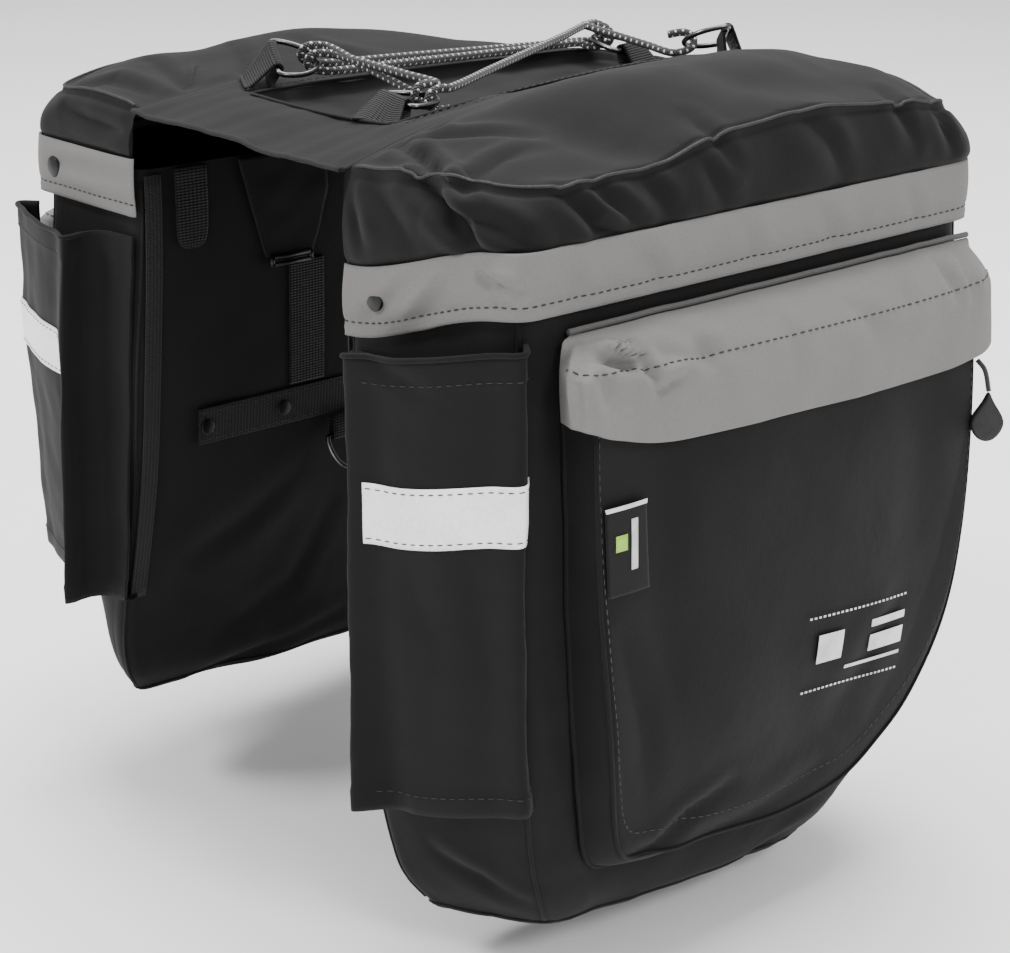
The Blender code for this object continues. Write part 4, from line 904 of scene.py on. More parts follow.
def make_lid(side):
    sign = SIDES[side]["sign"]
    per_side, per_corner = (64, 160, 64, 90), 14
    foot = lid_loop(side, LID_OUT, per_side, per_corner)
    head = lid_loop(side, LID_OUT - 0.006, per_side, per_corner, (0.034, 0.046))
    head[:, 0] = np.maximum(head[:, 0], RACK_HALF)
    foot[:, 0] = np.maximum(foot[:, 0], RACK_HALF)
    seam = top_height(sign * head[:, 0], head[:, 1])
    edge = BAND_TOP - drooped(side, foot[:, 0] - RACK_HALF, foot[:, 1])
    hinge = smooth((RACK_HALF + 0.003 - foot[:, 0]) / 0.003)
    edge = edge + (seam - 0.004 - edge) * hinge
    middle = head.mean(axis=0)
    out = foot - np.array((RACK_HALF + 0.5 * BAG_DEEP, REAR_Y + 0.5 * BAG_LONG))
    out /= np.linalg.norm(out, axis=1, keepdims=True)
    rows = []
    wall = np.concatenate((np.linspace(-0.06, 0.9, 34), (0.93, 0.96, 0.985, 1.0)))
    for t in wall:
        swell = 0.0028 * math.sin(math.pi * min(max(t, 0.0), 1.0)) - 0.0014 * (1.0 - float(smooth(t * 9.0)))
        at = foot + (head - foot) * max(t, 0.0)**1.6 + out * swell * (1 - hinge)[:, None]
        rows.append(np.column_stack((at, edge + (seam - edge) * t)))
    for share in np.concatenate(((0.995, 0.988, 0.978, 0.965), np.linspace(0.95, 0.05, 56))):
        at = middle + (head - middle) * share
        rows.append(np.column_stack((at, top_height(sign * at[:, 0], at[:, 1]))))
    lid = Cloth(seen_side(side, rows), closed=True, flip=sign > 0)
    n = len(wall)
    rows_at = np.arange(len(rows))[:, None]
    off_hinge = 1 - smooth((RACK_HALF + 0.012 - np.abs(lid.p[..., 0])) / 0.010)
    lid.free = off_hinge * smooth(rows_at / 8.0)
    lid.soften(side, 11, ((0.0007, 0.085), (0.0003, 0.032)), LID_CREASES[side])
    ridge = sum(high * np.exp(-((rows_at - (n + row)) / wide)**2)
                for row, wide, high in ((-1, 1.5, 0.0008), (-5, 1.4, -0.0010), (3, 1.4, -0.0010)))
    lid.push(ridge * off_hinge)
    made = lid.build("lid_cloth_" + side, "cloth", ["lid_" + side], close_end=True)
    keep = np.where(foot[:, 0] > RACK_HALF + 0.004)[0]
    line, normal = lid.p[n - 1, keep], lid.normals()[n - 1, keep]
    tube("lid_seam_" + side, line - normal * 0.0001, 0.0008, "thread", sides=8)


BAND_CREASES = {
    "right": (
        (((478, 276), (500, 284), (524, 293)), 0.0024, 0.0030),
        (((442, 268), (420, 295), (402, 318)), 0.0046, -0.0026),
        (((366, 318), (384, 304), (400, 288)), 0.0040, 0.0016),
        (((475, 262), (490, 290), (500, 316)), 0.0050, 0.0018),
        (((566, 256), (576, 276), (580, 300)), 0.0050, 0.0016),
        (((640, 250), (655, 270), (662, 288)), 0.0056, 0.0018),
        (((740, 214), (752, 240), (756, 266)), 0.0060, 0.0014),
        (((820, 205), (832, 228), (836, 250)), 0.0060, 0.0018),
        (((905, 182), (914, 205), (916, 226)), 0.0050, 0.0016),
    ),
    "left": (
        (((48, 160), (87, 168), (137, 176)), 0.0040, 0.0022),
    ),
}


def make_band(side):
    sign = SIDES[side]["sign"]
    foot = lid_loop(side, LID_OUT + 0.0008, (90, 200, 70, 8), 18)
    path = foot[foot[:, 0] > RACK_HALF + 0.0005]
    out = path - np.array((RACK_HALF + 0.5 * BAG_DEEP, REAR_Y + 0.5 * BAG_LONG))
    out /= np.linalg.norm(out, axis=1, keepdims=True)
    droop = drooped(side, path[:, 0] - RACK_HALF, path[:, 1])
    rows = []
    shares = np.linspace(0, 1, 21)
    for share in shares:
        swell = 0.0012 * math.sin(math.pi * share) + (0.0006 if share > 0.97 else 0.0)
        z = BAND_TOP - droop + 0.0006 - (BAND_TALL + 0.15 * droop) * share
        rows.append(np.column_stack((path + out * swell, z)))
    band = Cloth(seen_side(side, rows), flip=sign < 0)
    band.soften(side, 21, ((0.0006, 0.060),), BAND_CREASES[side])
    share = shares[:, None]
    band.push(-0.0006 * np.exp(-((share - 0.80) / 0.05)**2) + 0.0004 * np.exp(-((share - 0.92) / 0.06)**2))
    band.build("band_cloth_" + side, "grey", ["lid_band_" + side], thick=0.0016)
    row = 16
    stitches("band_stitches_" + side, [(band.p[row], band.normals()[row])])


HOOD_CREASES = {
    "right": (
        (((574, 346), (572, 370), (571, 400), (572, 428)), 0.0024, -0.0020),
        (((584, 346), (606, 349), (628, 354), (641, 358)), 0.0026, -0.0034),
        (((596, 360), (614, 364), (634, 366), (642, 360)), 0.0034, 0.0060),
        (((600, 372), (606, 390), (610, 408)), 0.0050, 0.0020),
        (((642, 352), (650, 372), (660, 386)), 0.0034, 0.0040),
        (((660, 390), (674, 382), (690, 377)), 0.0030, 0.0034),
        (((650, 348), (690, 356), (730, 350)), 0.0050, 0.0022),
        (((676, 325), (700, 345), (722, 372)), 0.0060, 0.0026),
        (((660, 405), (690, 385), (705, 360)), 0.0060, 0.0016),
        (((935, 258), (948, 275), (958, 298)), 0.0045, 0.0038),
        (((955, 250), (968, 272), (974, 300)), 0.0050, 0.0026),
        (((840, 300), (868, 318), (880, 345)), 0.0065, 0.0018),
        (((770, 310), (790, 335), (795, 372)), 0.0065, 0.0018),
        (((890, 268), (905, 290), (912, 320)), 0.0060, 0.0016),
    ),
    "left": (),
}


HOOD_LEANS = ((0, 0), (0.50, 0.05), (0.86, 0.30), (0.97, 0.65), (1, 1.0))


def hood_grid(side, count, rows_count):
    stations = np.linspace(0, 1, len(HOOD_ROWS))
    t = np.linspace(0, 1, count)
    table = between(stations, HOOD_ROWS, t)
    base_along = 0.095 + 0.88 * t
    y0 = y_at(base_along)
    y1 = REAR_Y + BAG_LONG * table[:, 0]
    out = HOOD_OUT * table[:, 1]
    drop = HOOD_TALL * table[:, 2]
    leans = between(np.linspace(0, 1, len(HOOD_LEANS)), HOOD_LEANS, np.linspace(0, 1, rows_count))
    rows = []
    for lean, fall in leans:
        y = y0 + (y1 - y0) * min(lean * 1.1, 1.0)
        z = POCKET_TOP + 0.002 - drop * fall
        base = outer_x(side, z, base_along) + 0.0036
        rows.append(np.column_stack((base + out * lean, y, z)))
    return seen_side(side, rows)


def make_hood(side):
    sign = SIDES[side]["sign"]
    hood = Cloth(hood_grid(side, 300, 52), flip=sign < 0)
    share = np.linspace(0, 1, 52)[:, None]
    hood.soften(side, 31, ((0.0006, 0.065), (0.0003, 0.028)), HOOD_CREASES[side], smooth(share * 3))
    made = hood.build("hood_cloth_" + side, "grey", ["pocket_hood_" + side], thick=0.0016)
    normal = hood.normals()
    row = 26
    stitches("hood_stitches_" + side, [(hood.p[row, 20:-10], normal[row, 20:-10])])
    tube("hood_piping_cloth_" + side, hood.p[0] + np.array((-sign * 0.0004, 0, 0.0016)), 0.0015, "piping",
         ["hood_piping_" + side], sides=10)


POCKET_CREASES = {
    "right": (
        (((627, 870), (654, 846), (690, 815), (732, 782)), 0.0050, 0.0030),
        (((700, 845), (760, 812), (820, 770)), 0.0070, 0.0020),
        (((840, 700), (880, 640), (905, 590)), 0.0100, 0.0014),
        (((620, 640), (640, 720), (650, 800)), 0.0070, 0.0014),
    ),
    "left": (),
}


def make_pocket(side):
    sign = SIDES[side]["sign"]
    tall = POCKET_TALL * SIDES[side]["tall"]
    edge = between(np.linspace(0, 1, len(POCKET_ROWS)), POCKET_ROWS, np.linspace(0, 1, 150))
    base, panel, down = edge.T
    z = POCKET_MOUTH - tall * down
    wall = outer_x(side, z, base) + (0.0011 if sign > 0 else 0.0018)
    rim_x = panel_x(side, panel, down) - 0.0012
    y0, y1 = y_at(base), y_at(panel)
    seam = np.column_stack((wall, y0, z))
    mid = np.column_stack((wall * 0.3 + rim_x * 0.7, y0 * 0.5 + y1 * 0.5, z + 0.004 * down))
    rim = np.column_stack((rim_x, y1, z + 0.008 * down))
    pull = 2 * mid - 0.5 * seam - 0.5 * rim
    gusset_rows = [seam * (1 - t) * (1 - t) + pull * 2 * t * (1 - t) + rim * t * t
                   for t in np.linspace(0, 1, 12)]
    gusset = Cloth(seen_side(side, gusset_rows), flip=sign > 0)
    gusset.soften(side, 41, ((0.0005, 0.04),))
    gusset.build("pocket_gusset_" + side, "cloth", ["outer_pocket_" + side])
    rows = []
    t = np.linspace(0, 1, len(edge))
    run = panel[-1] - panel[0]
    mouth = panel[0] + run * 0.5 * (t + smooth((panel - panel[0]) / run))
    for share in np.concatenate(((0.0, 0.004, 0.012, 0.025), np.linspace(0.045, 1.0, 60))):
        along = panel + (mouth - panel) * share
        deep = down * (1 - share)
        x = panel_x(side, along, deep) - 0.0012 * (1 - min(share / 0.045, 1.0))
        z = POCKET_MOUTH - tall * deep + 0.008 * deep
        rows.append(np.column_stack((x, y_at(along), z)))
    face = Cloth(seen_side(side, rows), flip=sign > 0)
    inside = smooth(np.linspace(0, 1, len(rows)) * 8)[:, None]
    face.soften(side, 43, ((0.0007, 0.12), (0.0002, 0.035)), POCKET_CREASES[side], inside)
    face.build("pocket_face_" + side, "cloth")
    normal = face.normals()
    tube("pocket_rim_seam_" + side, face.p[0] + normal[0] * 0.0003, 0.0011, "cloth", sides=8)
    tube("pocket_wall_seam_" + side, gusset.p[0] + np.array((sign * 0.0008, 0, 0)), 0.0013, "cloth",
         sides=8)
    stitches("pocket_rim_stitches_" + side, [(face.p[5], normal[5])], mat="pale_thread",
             radius=0.0003)


def bottle_row(side, down, count=120):
    """Plan of the bottle pocket, outer edge first, then its fold and its return to the bag."""
    z = BOTTLE_TOP - BOTTLE_TALL * SIDES[side]["tall"] * down
    clear = 0.0021
    spread_out = {"right": -0.02, "left": 0.10}[side]
    outer = RACK_HALF + BAG_DEEP * (1.03 + spread_out * down)
    fold = RACK_HALF + BAG_DEEP * (0.27 + 0.045 * down)
    base = RACK_HALF + BAG_DEEP * (0.04 + 0.12 * down)
    back_out = float(rear_y(side, 1.0, z)) - clear
    back_in = float(rear_y(side, 0.0, z)) - clear
    path = [(x_at(0.97), back_out + 0.008), (outer, back_out)]
    for k in range(1, 6):
        t = k / 6
        path.append((outer + (fold - outer) * t, back_out - BOTTLE_OUT * t - 0.004 * math.sin(math.pi * t)))
    path += [(fold + 0.002, back_in - BOTTLE_OUT), (fold - 0.001, back_in - BOTTLE_OUT + 0.0035),
             (fold + 0.001, back_in - BOTTLE_OUT * 0.5), (fold - 0.003, back_in - 0.004),
             (fold * 0.4 + base * 0.6, back_in - 0.001), (base, back_in)]
    t = np.linspace(0, 1, count)
    fine = between(np.linspace(0, 1, len(path)), path, t)
    sink = smooth(t * 2.0) * 0.55 + 0.42 * smooth(t * 2.0 - 1.0) * (1.0 - down)
    return np.column_stack((fine, z - SIDES[side]["droop"] * sink))


BOTTLE_CREASES = {
    "right": (
        (((365, 352), (385, 372), (420, 385)), 0.0040, 0.0014),
        (((400, 560), (440, 650), (430, 760)), 0.0120, 0.0012),
        (((470, 560), (490, 680), (480, 780)), 0.0100, 0.0010),
    ),
    "left": (),
}


def make_bottle(side):
    sign = SIDES[side]["sign"]
    shares = np.concatenate((np.linspace(0, 0.1, 8), np.linspace(0.115, 1.0, 60)))
    grid = np.array([bottle_row(side, s) for s in shares])
    first, final = grid[-1, 0], grid[-1, -1]
    t = np.linspace(0, 1, grid.shape[1])[:, None]
    floor_line = first + (final - first) * t + np.array((0, 0.008, 0))
    closing = [grid[-1] + (floor_line - grid[-1]) * s - np.array((0, 0, 0.0015 * math.sin(math.pi * s)))
               for s in (0.05, 0.12, 0.25, 0.5, 0.75, 1.0)]
    cloth = Cloth(seen_side(side, np.concatenate((grid, closing))), flip=sign > 0)
    cloth.soften(side, 51, ((0.0006, 0.09), (0.0003, 0.03)), BOTTLE_CREASES[side])
    down = np.concatenate((shares, np.full(6, 1.02)))[:, None]
    hem = 0.0006 * smooth((0.064 - down) / 0.008) + 0.0006 * smooth((down - 0.945) / 0.01) * (down <= 1.0)
    cloth.push(hem * np.ones_like(t.T))
    cloth.build("bottle_cloth_" + side, "cloth", ["bottle_pocket_" + side], thick=0.0014)
    normal = cloth.normals()
    last = 65
    lines = []
    for at in (0.056, 0.952):
        row = int(np.argmin(np.abs(down[:, 0] - at)))
        lines.append((cloth.p[row, :last], normal[row, :last]))
    stitches("bottle_stitches_" + side, lines, radius=0.0003)
    tube("bottle_lip_" + side, cloth.p[0, :90] + np.array((0, 0, -0.0008)), 0.0014, "cloth",
         sides=8)
    rows = []
    for share in np.linspace(0, 1, 12):
        at = (REFLECTOR_DROP + REFLECTOR_TALL * share) / BOTTLE_TALL
        row = np.array([np.interp(np.full(3, at), shares, cloth.p[:len(shares), j, c])[0]
                        for j in range(last) for c in range(3)]).reshape(last, 3)
        n_row = normal[int(np.argmin(np.abs(shares - at))), :last]
        rows.append(row + n_row * 0.0008)
    tape = Cloth(np.array(rows), flip=sign > 0)
    tape.build("reflector_tape_" + side, "tape", ["reflector_" + side], thick=0.0006)
    tn = tape.normals()
    stitches("tape_stitches_" + side, [(tape.p[1], tn[1]), (tape.p[-2], tn[-2])],
             mat="thread", radius=0.0003)


def make_bridge():
    half = RACK_HALF + 0.0004
    x = np.unique(np.concatenate((np.linspace(-half, half, 84), WINDOW_HALF - np.linspace(0, 0.006, 7),
                                  -WINDOW_HALF + np.linspace(0, 0.006, 7))))
    rear, front = REAR_Y - 0.0012, y_at(0.995) + 0.0012
    y = np.unique(np.concatenate((np.linspace(rear, front, 130), WINDOW_REAR + np.linspace(0, 0.006, 7),
                                  WINDOW_FRONT - np.linspace(0, 0.006, 7))))
    gx, gy = np.meshgrid(x, y)
    cloth = Cloth(np.stack((gx, gy, window_height(gx, gy)), axis=2))
    cloth.flip = cloth.normals()[10, 10, 2] < 0
    calm = 1 - smooth((np.abs(gx) - RACK_HALF + 0.012) / 0.010)
    cloth.wrinkle(0.0008, 0.06, 61, mask=calm)
    cloth.wrinkle(0.0005, 0.025, 62, mask=calm)
    cloth.build("bridge_cloth", "cloth", ["bridge_panel"], thick=0.0016)
    for k, row in enumerate((0, -1)):
        tube("bridge_binding_%d" % (k + 1), cloth.p[row][::2] + np.array((0, 0, -0.0006)), 0.0019, "bind",
             sides=10, flat=0.7)
    hems = []
    for name, xs, ys in (("near", WINDOW_HALF + 0.001, (WINDOW_REAR, WINDOW_FRONT)),
                         ("far", -WINDOW_HALF - 0.001, (WINDOW_REAR, WINDOW_FRONT))):
        yy = np.linspace(*ys, 60)
        line = np.column_stack((np.full(60, xs), yy, top_height(xs, yy) + 0.0004))
        tube("window_hem_" + name, line, 0.0014, "cloth", sides=8, flat=0.7)
        line = np.column_stack((np.full(60, xs + math.copysign(0.006, xs)), yy,
                                top_height(xs + math.copysign(0.006, xs), yy) + 0.0009))
        hems.append((line, np.tile((0, 0, 1.0), (60, 1))))
    for name, yy in (("rear", WINDOW_REAR - 0.001), ("front", WINDOW_FRONT + 0.001)):
        xx = np.linspace(-WINDOW_HALF, WINDOW_HALF, 40)
        line = np.column_stack((xx, np.full(40, yy), top_height(xx, yy) + 0.0004))
        tube("window_hem_" + name, line, 0.0014, "cloth", sides=8, flat=0.7)
    stitches("window_stitches", hems, mat="pale_thread", radius=0.0003)


# Loops, rings and bungee
def heading(turn, pitch):
    turn, pitch = math.radians(turn), math.radians(pitch)
    return Vector((math.cos(turn) * math.cos(pitch), math.sin(turn) * math.cos(pitch), math.sin(pitch)))


def loop_frame(number):
    row = dict(zip(LOOP_COLUMNS, LOOP_ROWS[number]))
    base_x, base_y = RACK_HALF * row["base_x"], REAR_Y + BAG_LONG * row["base_y"]
    bar_x, bar_y = RACK_HALF * row["bar_x"], REAR_Y + BAG_LONG * row["bar_y"]
    base = Vector((base_x, base_y, float(window_height(base_x, base_y))))
    bar = Vector((bar_x, bar_y, float(window_height(bar_x, bar_y)) + LID_RISE * row["bar_up"]))
    along_bar = heading(row["bar_turn"], row["bar_pitch"])
    ring = heading(row["ring_turn"], row["ring_pitch"])
    ring = (ring - along_bar * ring.dot(along_bar)).normalized()
    return base, bar, heading(row["base_turn"], 0), along_bar, ring


def make_web_loop(number):
    base, bar, base_way, bar_way, _ = loop_frame(number)
    room = RING_WIRE + 0.0006
    foot = WEB_WIDE * 0.22
    columns = []
    for share in np.linspace(-0.5, 0.5, 12):
        low = base + base_way * WEB_WIDE * share
        high = bar + bar_way * WEB_WIDE * 0.84 * share
        back = (low - high - bar_way * (low - high).dot(bar_way)).normalized()
        beside = bar_way.cross(back).normalized()
        out = Vector((0, 0, 1)).cross(base_way).normalized()
        if out.dot(beside) < 0:
            out = -out
        ends = [low + out * foot, low - out * foot]
        for end in ends:
            end.z = float(window_height(end.x, end.y)) + 0.0010
        near = [low + out * foot * 1.5, ends[0]]
        far = [ends[1], low - out * foot * 1.5]
        for end in (near[0], far[1]):
            end.z = float(window_height(end.x, end.y)) + 0.0008
        turn = [high + beside * room * math.cos(a) - back * room * math.sin(a)
                for a in np.linspace(0, math.pi, 9)]
        columns.append(rope([tuple(v) for v in near + turn + far], 5))
    grid = np.array(columns).transpose(1, 0, 2)
    web = Cloth(grid)
    top = web.normals()[grid.shape[0] // 2, 6]
    ring_side = np.array(bar) - grid[grid.shape[0] // 2, 6]
    web.flip = float(top @ ring_side) > 0
    web.build("loop_web_" + number, "web", ["web_loop_" + number], thick=-0.0013)


def ring_line(wide, tall):
    """A D shape: a straight bar at the bottom and a round bow."""
    a = np.linspace(0, math.pi, 40)
    corner = 0.003
    half = wide / 2
    pts = [(half * math.cos(t), corner + (tall - corner) * math.sin(t)) for t in a]
    bend = [(half - 0.0003, 0.0017), (half - 0.0010, 0.0008), (half - 0.0018, 0.0003), (half - corner, 0.0)]
    pts += [(-x, z) for x, z in bend]
    pts += [(x, 0.0) for x in np.linspace(-half + corner + 0.002, half - corner - 0.002, 10)]
    return pts + bend[::-1]


def make_ring(name, bar, bar_way, ring_way, wide, tall, nodes):
    line = [tuple(bar + bar_way * x + ring_way * z) for x, z in ring_line(wide, tall)]
    tube(name, line, RING_WIRE, "metal", nodes, sides=12, closed=True)


def ring_pass(number, place_on_bar):
    _, bar, _, bar_way, ring_way = loop_frame(number)
    normal = bar_way.cross(ring_way).normalized()
    if normal.z < 0:
        normal = -normal
    sideways = bar_way * place_on_bar * BUNGEE_R * 2
    depth = RING_TALL * math.sqrt(max(1 - (2 * place_on_bar * BUNGEE_R * 2 / RING_WIDE)**2, 0.1))
    wire = bar + sideways + ring_way * depth
    room = RING_WIRE + BUNGEE_R + 0.0018
    turn = []
    for angle in (0, 50, 90, 130, 180):
        a = math.radians(angle)
        turn.append(wire + normal * room * math.cos(a) - ring_way * room * math.sin(a))
    return [turn[0] + ring_way * room * 1.5] + turn + [turn[-1] + ring_way * room * 1.5]


def make_bungee():
    route = []
    for number, place_on_bar in BUNGEE_ROUTE:
        turn = ring_pass(number, place_on_bar)
        if route and (Vector(route[-1]) - turn[0]).length > (Vector(route[-1]) - turn[-1]).length:
            turn.reverse()
        if route:
            start = Vector(route[-1])
            for share in (0.25, 0.5, 0.75):
                route.append(tuple(start.lerp(turn[0], share)))
        route += [tuple(p) for p in turn]
    line = rope(route, 7)
    sleeve = tube("bungee_sleeve", line, BUNGEE_R, "bungee", ["bungee"], sides=14)


# Fittings on the inner walls
def wall_patch(name, side, rows, thick, mat, node_name, under=0.0, columns=24, steps=40, high=0.0):
    tall = BAG_TALL * SIDES[side]["tall"]
    table = np.array(rows)
    s = np.linspace(0, 1, len(table))
    grid = []
    for t in np.linspace(0, 1, steps):
        start, stop, down = [float(np.interp(t, s, table[:, k])) for k in range(3)]
        z = BODY_TOP - tall * down
        y = REAR_Y + BAG_LONG * np.linspace(start, stop, columns)
        x = inner_x(side, y, z) - 0.0006 - under - thick
        grid.append(np.column_stack((x, y, np.full(columns, z))))
    cloth = Cloth(seen_side(side, grid), flip=SIDES[side]["sign"] > 0)
    if high:
        cloth.wrinkle(high, 0.03, 71)
    cloth.build(name + "_cloth_" + side, mat, [node_name + "_" + side], thick=thick)
    return cloth


STRAP_ROWS = ((0.065, 0.125, 0.005), (0.065, 0.125, 0.090), (0.066, 0.124, 0.120), (0.069, 0.121, 0.132),
              (0.074, 0.116, 0.140), (0.083, 0.107, 0.146))
FLAP_ROWS = ((0.190, 0.370, 0.005), (0.210, 0.370, 0.080), (0.235, 0.350, 0.160), (0.245, 0.340, 0.188))
WEB_ROWS = ((0.292, 0.364, 0.205), (0.296, 0.368, 0.320), (0.300, 0.372, 0.438))
STRIP_ROWS = ((0.110, 0.460, 0.445), (0.110, 0.460, 0.478), (0.110, 0.460, 0.512))
BINDING_ROWS = ((0.006, 0.036, 0.010), (0.004, 0.034, 0.200), (0.000, 0.030, 0.400), (-0.004, 0.026, 0.600),
                (-0.004, 0.026, 0.780))


def make_wall(side):
    sign = SIDES[side]["sign"]
    tall = BAG_TALL * SIDES[side]["tall"]
    wall_patch("velcro", side, STRAP_ROWS, 0.0014, "web", "velcro_strap")
    wall_patch("flap", side, FLAP_ROWS, 0.0018, "cloth", "strap_flap", high=0.0004)
    wall_patch("strap", side, WEB_ROWS, 0.0014, "web", "web_strap")
    strip = wall_patch("strip", side, STRIP_ROWS, 0.0014, "bind", "inner_strip",
                       under=-0.0003)
    wall_patch("binding", side, BINDING_ROWS, 0.0010, "bind", "inner_binding", under=0.0006)
    n = strip.normals()
    stitches("strip_stitches_" + side, [(strip.p[4], n[4]), (strip.p[-5], n[-5])],
             mat="pale_thread", radius=0.0003)
    strip_mid = (STRIP_ROWS[0][2] + STRIP_ROWS[-1][2]) / 2
    for number, along in (("1", 0.125), ("2", 0.285)):
        y = y_at(along)
        z = BODY_TOP - tall * strip_mid
        x = float(inner_x(side, y, z)) - 0.0027
        rivet("strip_cap_%s_%s" % (side, number), (sign * x, y, z), (-sign, 0, 0), 0.0044,
              ["strip_rivet_%s_%s" % (side, number)])
    make_adjuster(side)
    make_lower_ring(side)


def make_adjuster(side):
    """Moulded slider: a frame with a bar across its middle."""
    sign = SIDES[side]["sign"]
    tall = BAG_TALL * SIDES[side]["tall"]
    y = REAR_Y + BAG_LONG * (FLAP_ROWS[-1][0] + FLAP_ROWS[-1][1]) / 2
    z = BODY_TOP - tall * (FLAP_ROWS[-1][2] + WEB_ROWS[0][2]) / 2
    x = float(inner_x(side, y, z)) - 0.0026
    bm = bmesh.new()
    for dy, dz, wy, wz, wx in ((0, 0.0020, 0.029, 0.0022, 0.0034), (0, -0.0020, 0.029, 0.0022, 0.0034),
                               (0.0135, 0, 0.0026, 0.006, 0.0034), (-0.0135, 0, 0.0026, 0.006, 0.0034),
                               (0, 0, 0.026, 0.0014, 0.0024)):
        made = bmesh.ops.create_cube(bm, size=1.0)["verts"]
        bmesh.ops.scale(bm, vec=(wx, wy, wz), verts=made)
        bmesh.ops.translate(bm, vec=(sign * x, y + dy, z + dz), verts=made)
    bmesh.ops.bevel(bm, geom=bm.edges[:], offset=0.0004, segments=2, affect="EDGES")
    mesh = bpy.data.meshes.new("slider_" + side)
    bm.to_mesh(mesh)
    bm.free()
    mesh.shade_smooth()
    dress(add_object("slider_" + side, mesh, MATS["plastic"]), ["adjuster_" + side])


def make_lower_ring(side):
    sign = SIDES[side]["sign"]
    tall = BAG_TALL * SIDES[side]["tall"]
    y = y_at(0.415)
    top = BODY_TOP - tall * STRIP_ROWS[-1][2] - 0.0006
    bar_z = top - 0.012
    room = RING_WIRE + 0.0006
    x = float(min(inner_x(side, y, top), inner_x(side, y, bar_z))) - 0.0012 - room - 0.0014
    columns = []
    for share in np.linspace(-0.5, 0.5, 10):
        row = [(x + room, y + 0.020 * share, top), (x + room, y + 0.020 * share, bar_z + 0.004)]
        for a in np.linspace(0, math.pi, 9):
            row.append((x + room * math.cos(a), y + 0.020 * share, bar_z - room * math.sin(a)))
        row += [(x - room, y + 0.020 * share, bar_z + 0.004), (x - room, y + 0.020 * share, top)]
        columns.append(row)
    grid = seen_side(side, np.array(columns).transpose(1, 0, 2))
    web = Cloth(grid)
    mid = grid.shape[0] // 2
    web.flip = float(web.normals()[mid, 5] @ np.array((0, 0, 1.0))) > 0
    web.build("ring_web_" + side, "web", ["ring_tab_" + side], thick=-0.0012)
    hang = Vector((-sign * 0.35, 0, -0.94)).normalized()
    make_ring("lower_ring_metal_" + side, Vector((sign * x, y, bar_z)), Vector((0, 1, 0)), hang,
              RING_WIDE * 0.9, RING_TALL * 0.9, ["lower_ring_" + side])


# Trim on the outside
TAG_ROWS = ((0.094, 0.170, 0.225), (0.096, 0.172, 0.305), (0.100, 0.176, 0.390))


def on_panel(side, along, down, off):
    x = panel_x(side, along, down) + off
    z = POCKET_MOUTH - POCKET_TALL * SIDES[side]["tall"] * down + 0.008 * down
    return seen_side(side, np.stack((x, y_at(along) + 0 * x, z + 0 * x), axis=-1))


def panel_patch(name, side, corners, off, mat, nodes=(), thick=0.0, steps=(20, 30)):
    """A flat patch on the outer pocket: corners are (along start, along end, down) rows."""
    table = np.array(corners)
    s = np.linspace(0, 1, len(table))
    grid = []
    for t in np.linspace(0, 1, steps[1]):
        start, stop, down = [float(np.interp(t, s, table[:, k])) for k in range(3)]
        grid.append(on_panel(side, np.linspace(start, stop, steps[0]), down, off))
    cloth = Cloth(np.array(grid), flip=SIDES[side]["sign"] < 0)
    cloth.build(name, mat, nodes, thick=thick)
    return cloth


PRINT_START, PRINT_STOP, PRINT_SLOPE = 0.510, 0.770, 0.148
PRINT_DOTS = 24
PRINT_LINES = (0.5640, 0.7270)
PRINT_BARS = ((0.62, 0.98, 0.602, 0.618), (0.62, 0.98, 0.636, 0.672), (0.10, 0.34, 0.606, 0.668),
              (0.40, 0.98, 0.690, 0.697))


def print_shapes(name, side, shapes, mat):
    """Plain printed shapes on the pocket: (start, stop, top, low) shares, their rows falling along it."""
    verts, faces = [], []
    for start, stop, top, low in shapes:
        along, deep = np.meshgrid(np.linspace(start, stop, 6), np.linspace(top, low, 4))
        base = len(verts)
        deep = deep + (along - PRINT_START) * PRINT_SLOPE
        verts += [tuple(v) for v in on_panel(side, along, deep, 0.0011).reshape(-1, 3)]
        for i in range(3):
            for j in range(5):
                quad = [base + 6 * r + c for r, c in ((i, j), (i + 1, j), (i + 1, j + 1), (i, j + 1))]
                faces.append(quad if side == "right" else quad[::-1])
    obj = add_mesh(name, verts, faces, mat, shade=False)
    thicken(obj, 0.0003)
    dress(obj)


def make_print(side):
    """Two dotted lines with plain bars between them, where the pocket has its print."""
    run = PRINT_STOP - PRINT_START
    dots = []
    for top in PRINT_LINES:
        for k in range(PRINT_DOTS):
            start = PRINT_START + run * k / PRINT_DOTS
            dots.append((start, start + run * 0.5 / PRINT_DOTS, top, top + 0.0042))
    print_shapes("print_dots_" + side, side, dots, "print")
    print_shapes("print_bars_" + side, side, [(PRINT_START + run * a, PRINT_START + run * b, top, low)
                                              for a, b, top, low in PRINT_BARS], "print")


def make_tag(side):
    panel_patch("tag_cloth_" + side, side, TAG_ROWS, 0.0020, "label", ["side_tag_" + side],
                0.0010)
    start, stop, head = TAG_ROWS[0]
    edge = ((start - 0.002, stop + 0.001, head - 0.004), (start, stop, head + 0.004))
    panel_patch("tag_edge_" + side, side, edge, 0.0024, "print", thick=0.0004)
    wide = stop - start
    for k, (left, right, top, low, mat) in enumerate((
            (0.22, 0.50, 0.275, 0.305, "green_print"), (0.60, 0.76, 0.250, 0.345, "print"))):
        panel_patch("tag_mark_%s_%d" % (side, k + 1), side,
                    [(start + wide * left, start + wide * right, down) for down in (top, low)],
                    0.0024, mat, thick=0.0003, steps=(4, 4))


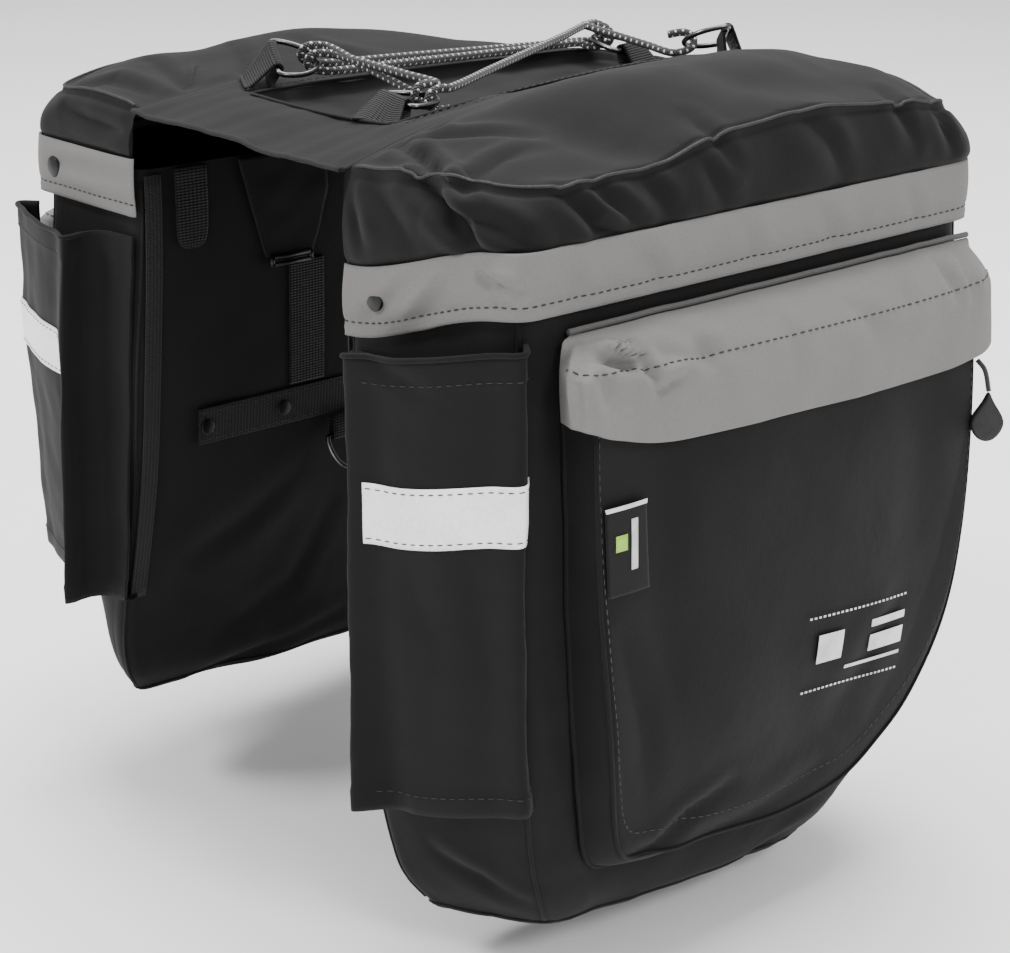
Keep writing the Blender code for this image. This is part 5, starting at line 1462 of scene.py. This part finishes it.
def make_lid_tab(side):
    sign = SIDES[side]["sign"]
    x = x_at(0.80)
    y = y_at(0.995) + LID_OUT + 0.0029
    z = BAND_TOP + 0.010
    line = []
    for t in np.linspace(0, 1, 18):
        a = math.pi * (t - 0.5)
        line.append((sign * x, y - 0.0020 + 0.0046 * math.cos(a), z + 0.0060 * math.sin(a)))
    columns = [np.array(line) + np.array((d, 0, 0)) for d in np.linspace(-0.006, 0.006, 8)]
    web = Cloth(np.array(columns).transpose(1, 0, 2))
    web.flip = float(web.normals()[9, 4] @ np.array((0, 1.0, 0))) < 0
    web.build("lid_tab_web_" + side, "web", ["lid_tab_" + side], thick=0.0014)


def make_zip_pull(side):
    along = 0.925
    turn = 40
    wide, long, thick = 0.019, 0.027, 0.005
    y = y_at(along)
    top = POCKET_TOP - HOOD_TALL * 1.06
    down = (POCKET_MOUTH - top) / POCKET_TALL
    x = float(panel_x(side, along, down)) - 0.00084
    drop = 0.016
    out = wide * 0.5 * math.sin(math.radians(turn)) + thick * 0.5 + 0.0006
    cord = [(x + 0.0019, y, top), (x + out * 0.7, y + 0.001, top - drop * 0.3),
            (x + out, y + 0.002, top - drop)]
    tube("zip_cord_sleeve_" + side, seen_side(side, rope(cord, 10)), 0.0013, "pull",
         ["zip_cord_" + side], sides=12)
    outline = []
    for k in range(48):
        a = 2 * math.pi * k / 48
        narrow = 0.28 + 0.72 * float(smooth((1 - math.sin(a)) * 0.72))
        outline.append((0.5 * wide * narrow * math.cos(a), 0.5 * long * math.sin(a)))
    layers = ((-0.5, 0.80), (-0.46, 0.90), (-0.30, 0.98), (0.0, 1.0), (0.30, 0.98), (0.46, 0.90), (0.5, 0.80),
              (0.5, 0.66), (0.36, 0.60), (0.36, 0.30), (0.36, 0.02))
    grid = []
    centre_v = -0.18 * long
    for depth, size in ((-0.5, 0.02), (-0.5, 0.5)) + layers:
        grid.append([(u * size, depth * thick, centre_v * (1 - size) + v * size) for u, v in outline])
    spin = Matrix.Rotation(math.radians(90 - turn), 3, "Z")
    centre = Vector((x + out, y + 0.002, top - drop - 0.0006 - long / 2))
    grid = np.array([[tuple(spin @ Vector(p) + centre) for p in ring] for ring in grid])
    drop_piece = Cloth(seen_side(side, grid), closed=True)
    mid = drop_piece.normals()[5, 0]
    outward = drop_piece.p[5, 0] - drop_piece.p[5].mean(axis=0)
    drop_piece.flip = float(mid @ outward) < 0
    drop_piece.build("puller_drop_" + side, "rubber", ["zip_puller_" + side])


def make_rivets(side):
    depth = {"right": 0.22, "left": 0.66}[side] * BAG_DEEP
    sign = SIDES[side]["sign"]
    x = RACK_HALF + depth
    y = REAR_Y + BAG_LONG * 0.010 * depth / BAG_DEEP - LID_OUT - 0.0015 - 0.0010
    z = BAND_TOP - float(drooped(side, depth, REAR_Y)) - BAND_TALL * 0.48
    rivet("band_cap_" + side, (sign * x, y, z), (0, -1, 0), 0.0058, ["band_rivet_" + side])


make_camera()
make_studio()
make_bridge()
for side in SIDES:
    make_bag(side)
    make_lid(side)
    make_band(side)
    make_hood(side)
    make_pocket(side)
    make_bottle(side)
    make_wall(side)
    make_tag(side)
    make_print(side)
    make_lid_tab(side)
    make_zip_pull(side)
    make_rivets(side)
for number in LOOP_ROWS:
    make_web_loop(number)
    _, bar, _, bar_way, ring_way = loop_frame(number)
    make_ring("top_ring_" + number, bar, bar_way, ring_way, RING_WIDE, RING_TALL, ["d_ring_" + number])
make_bungee()
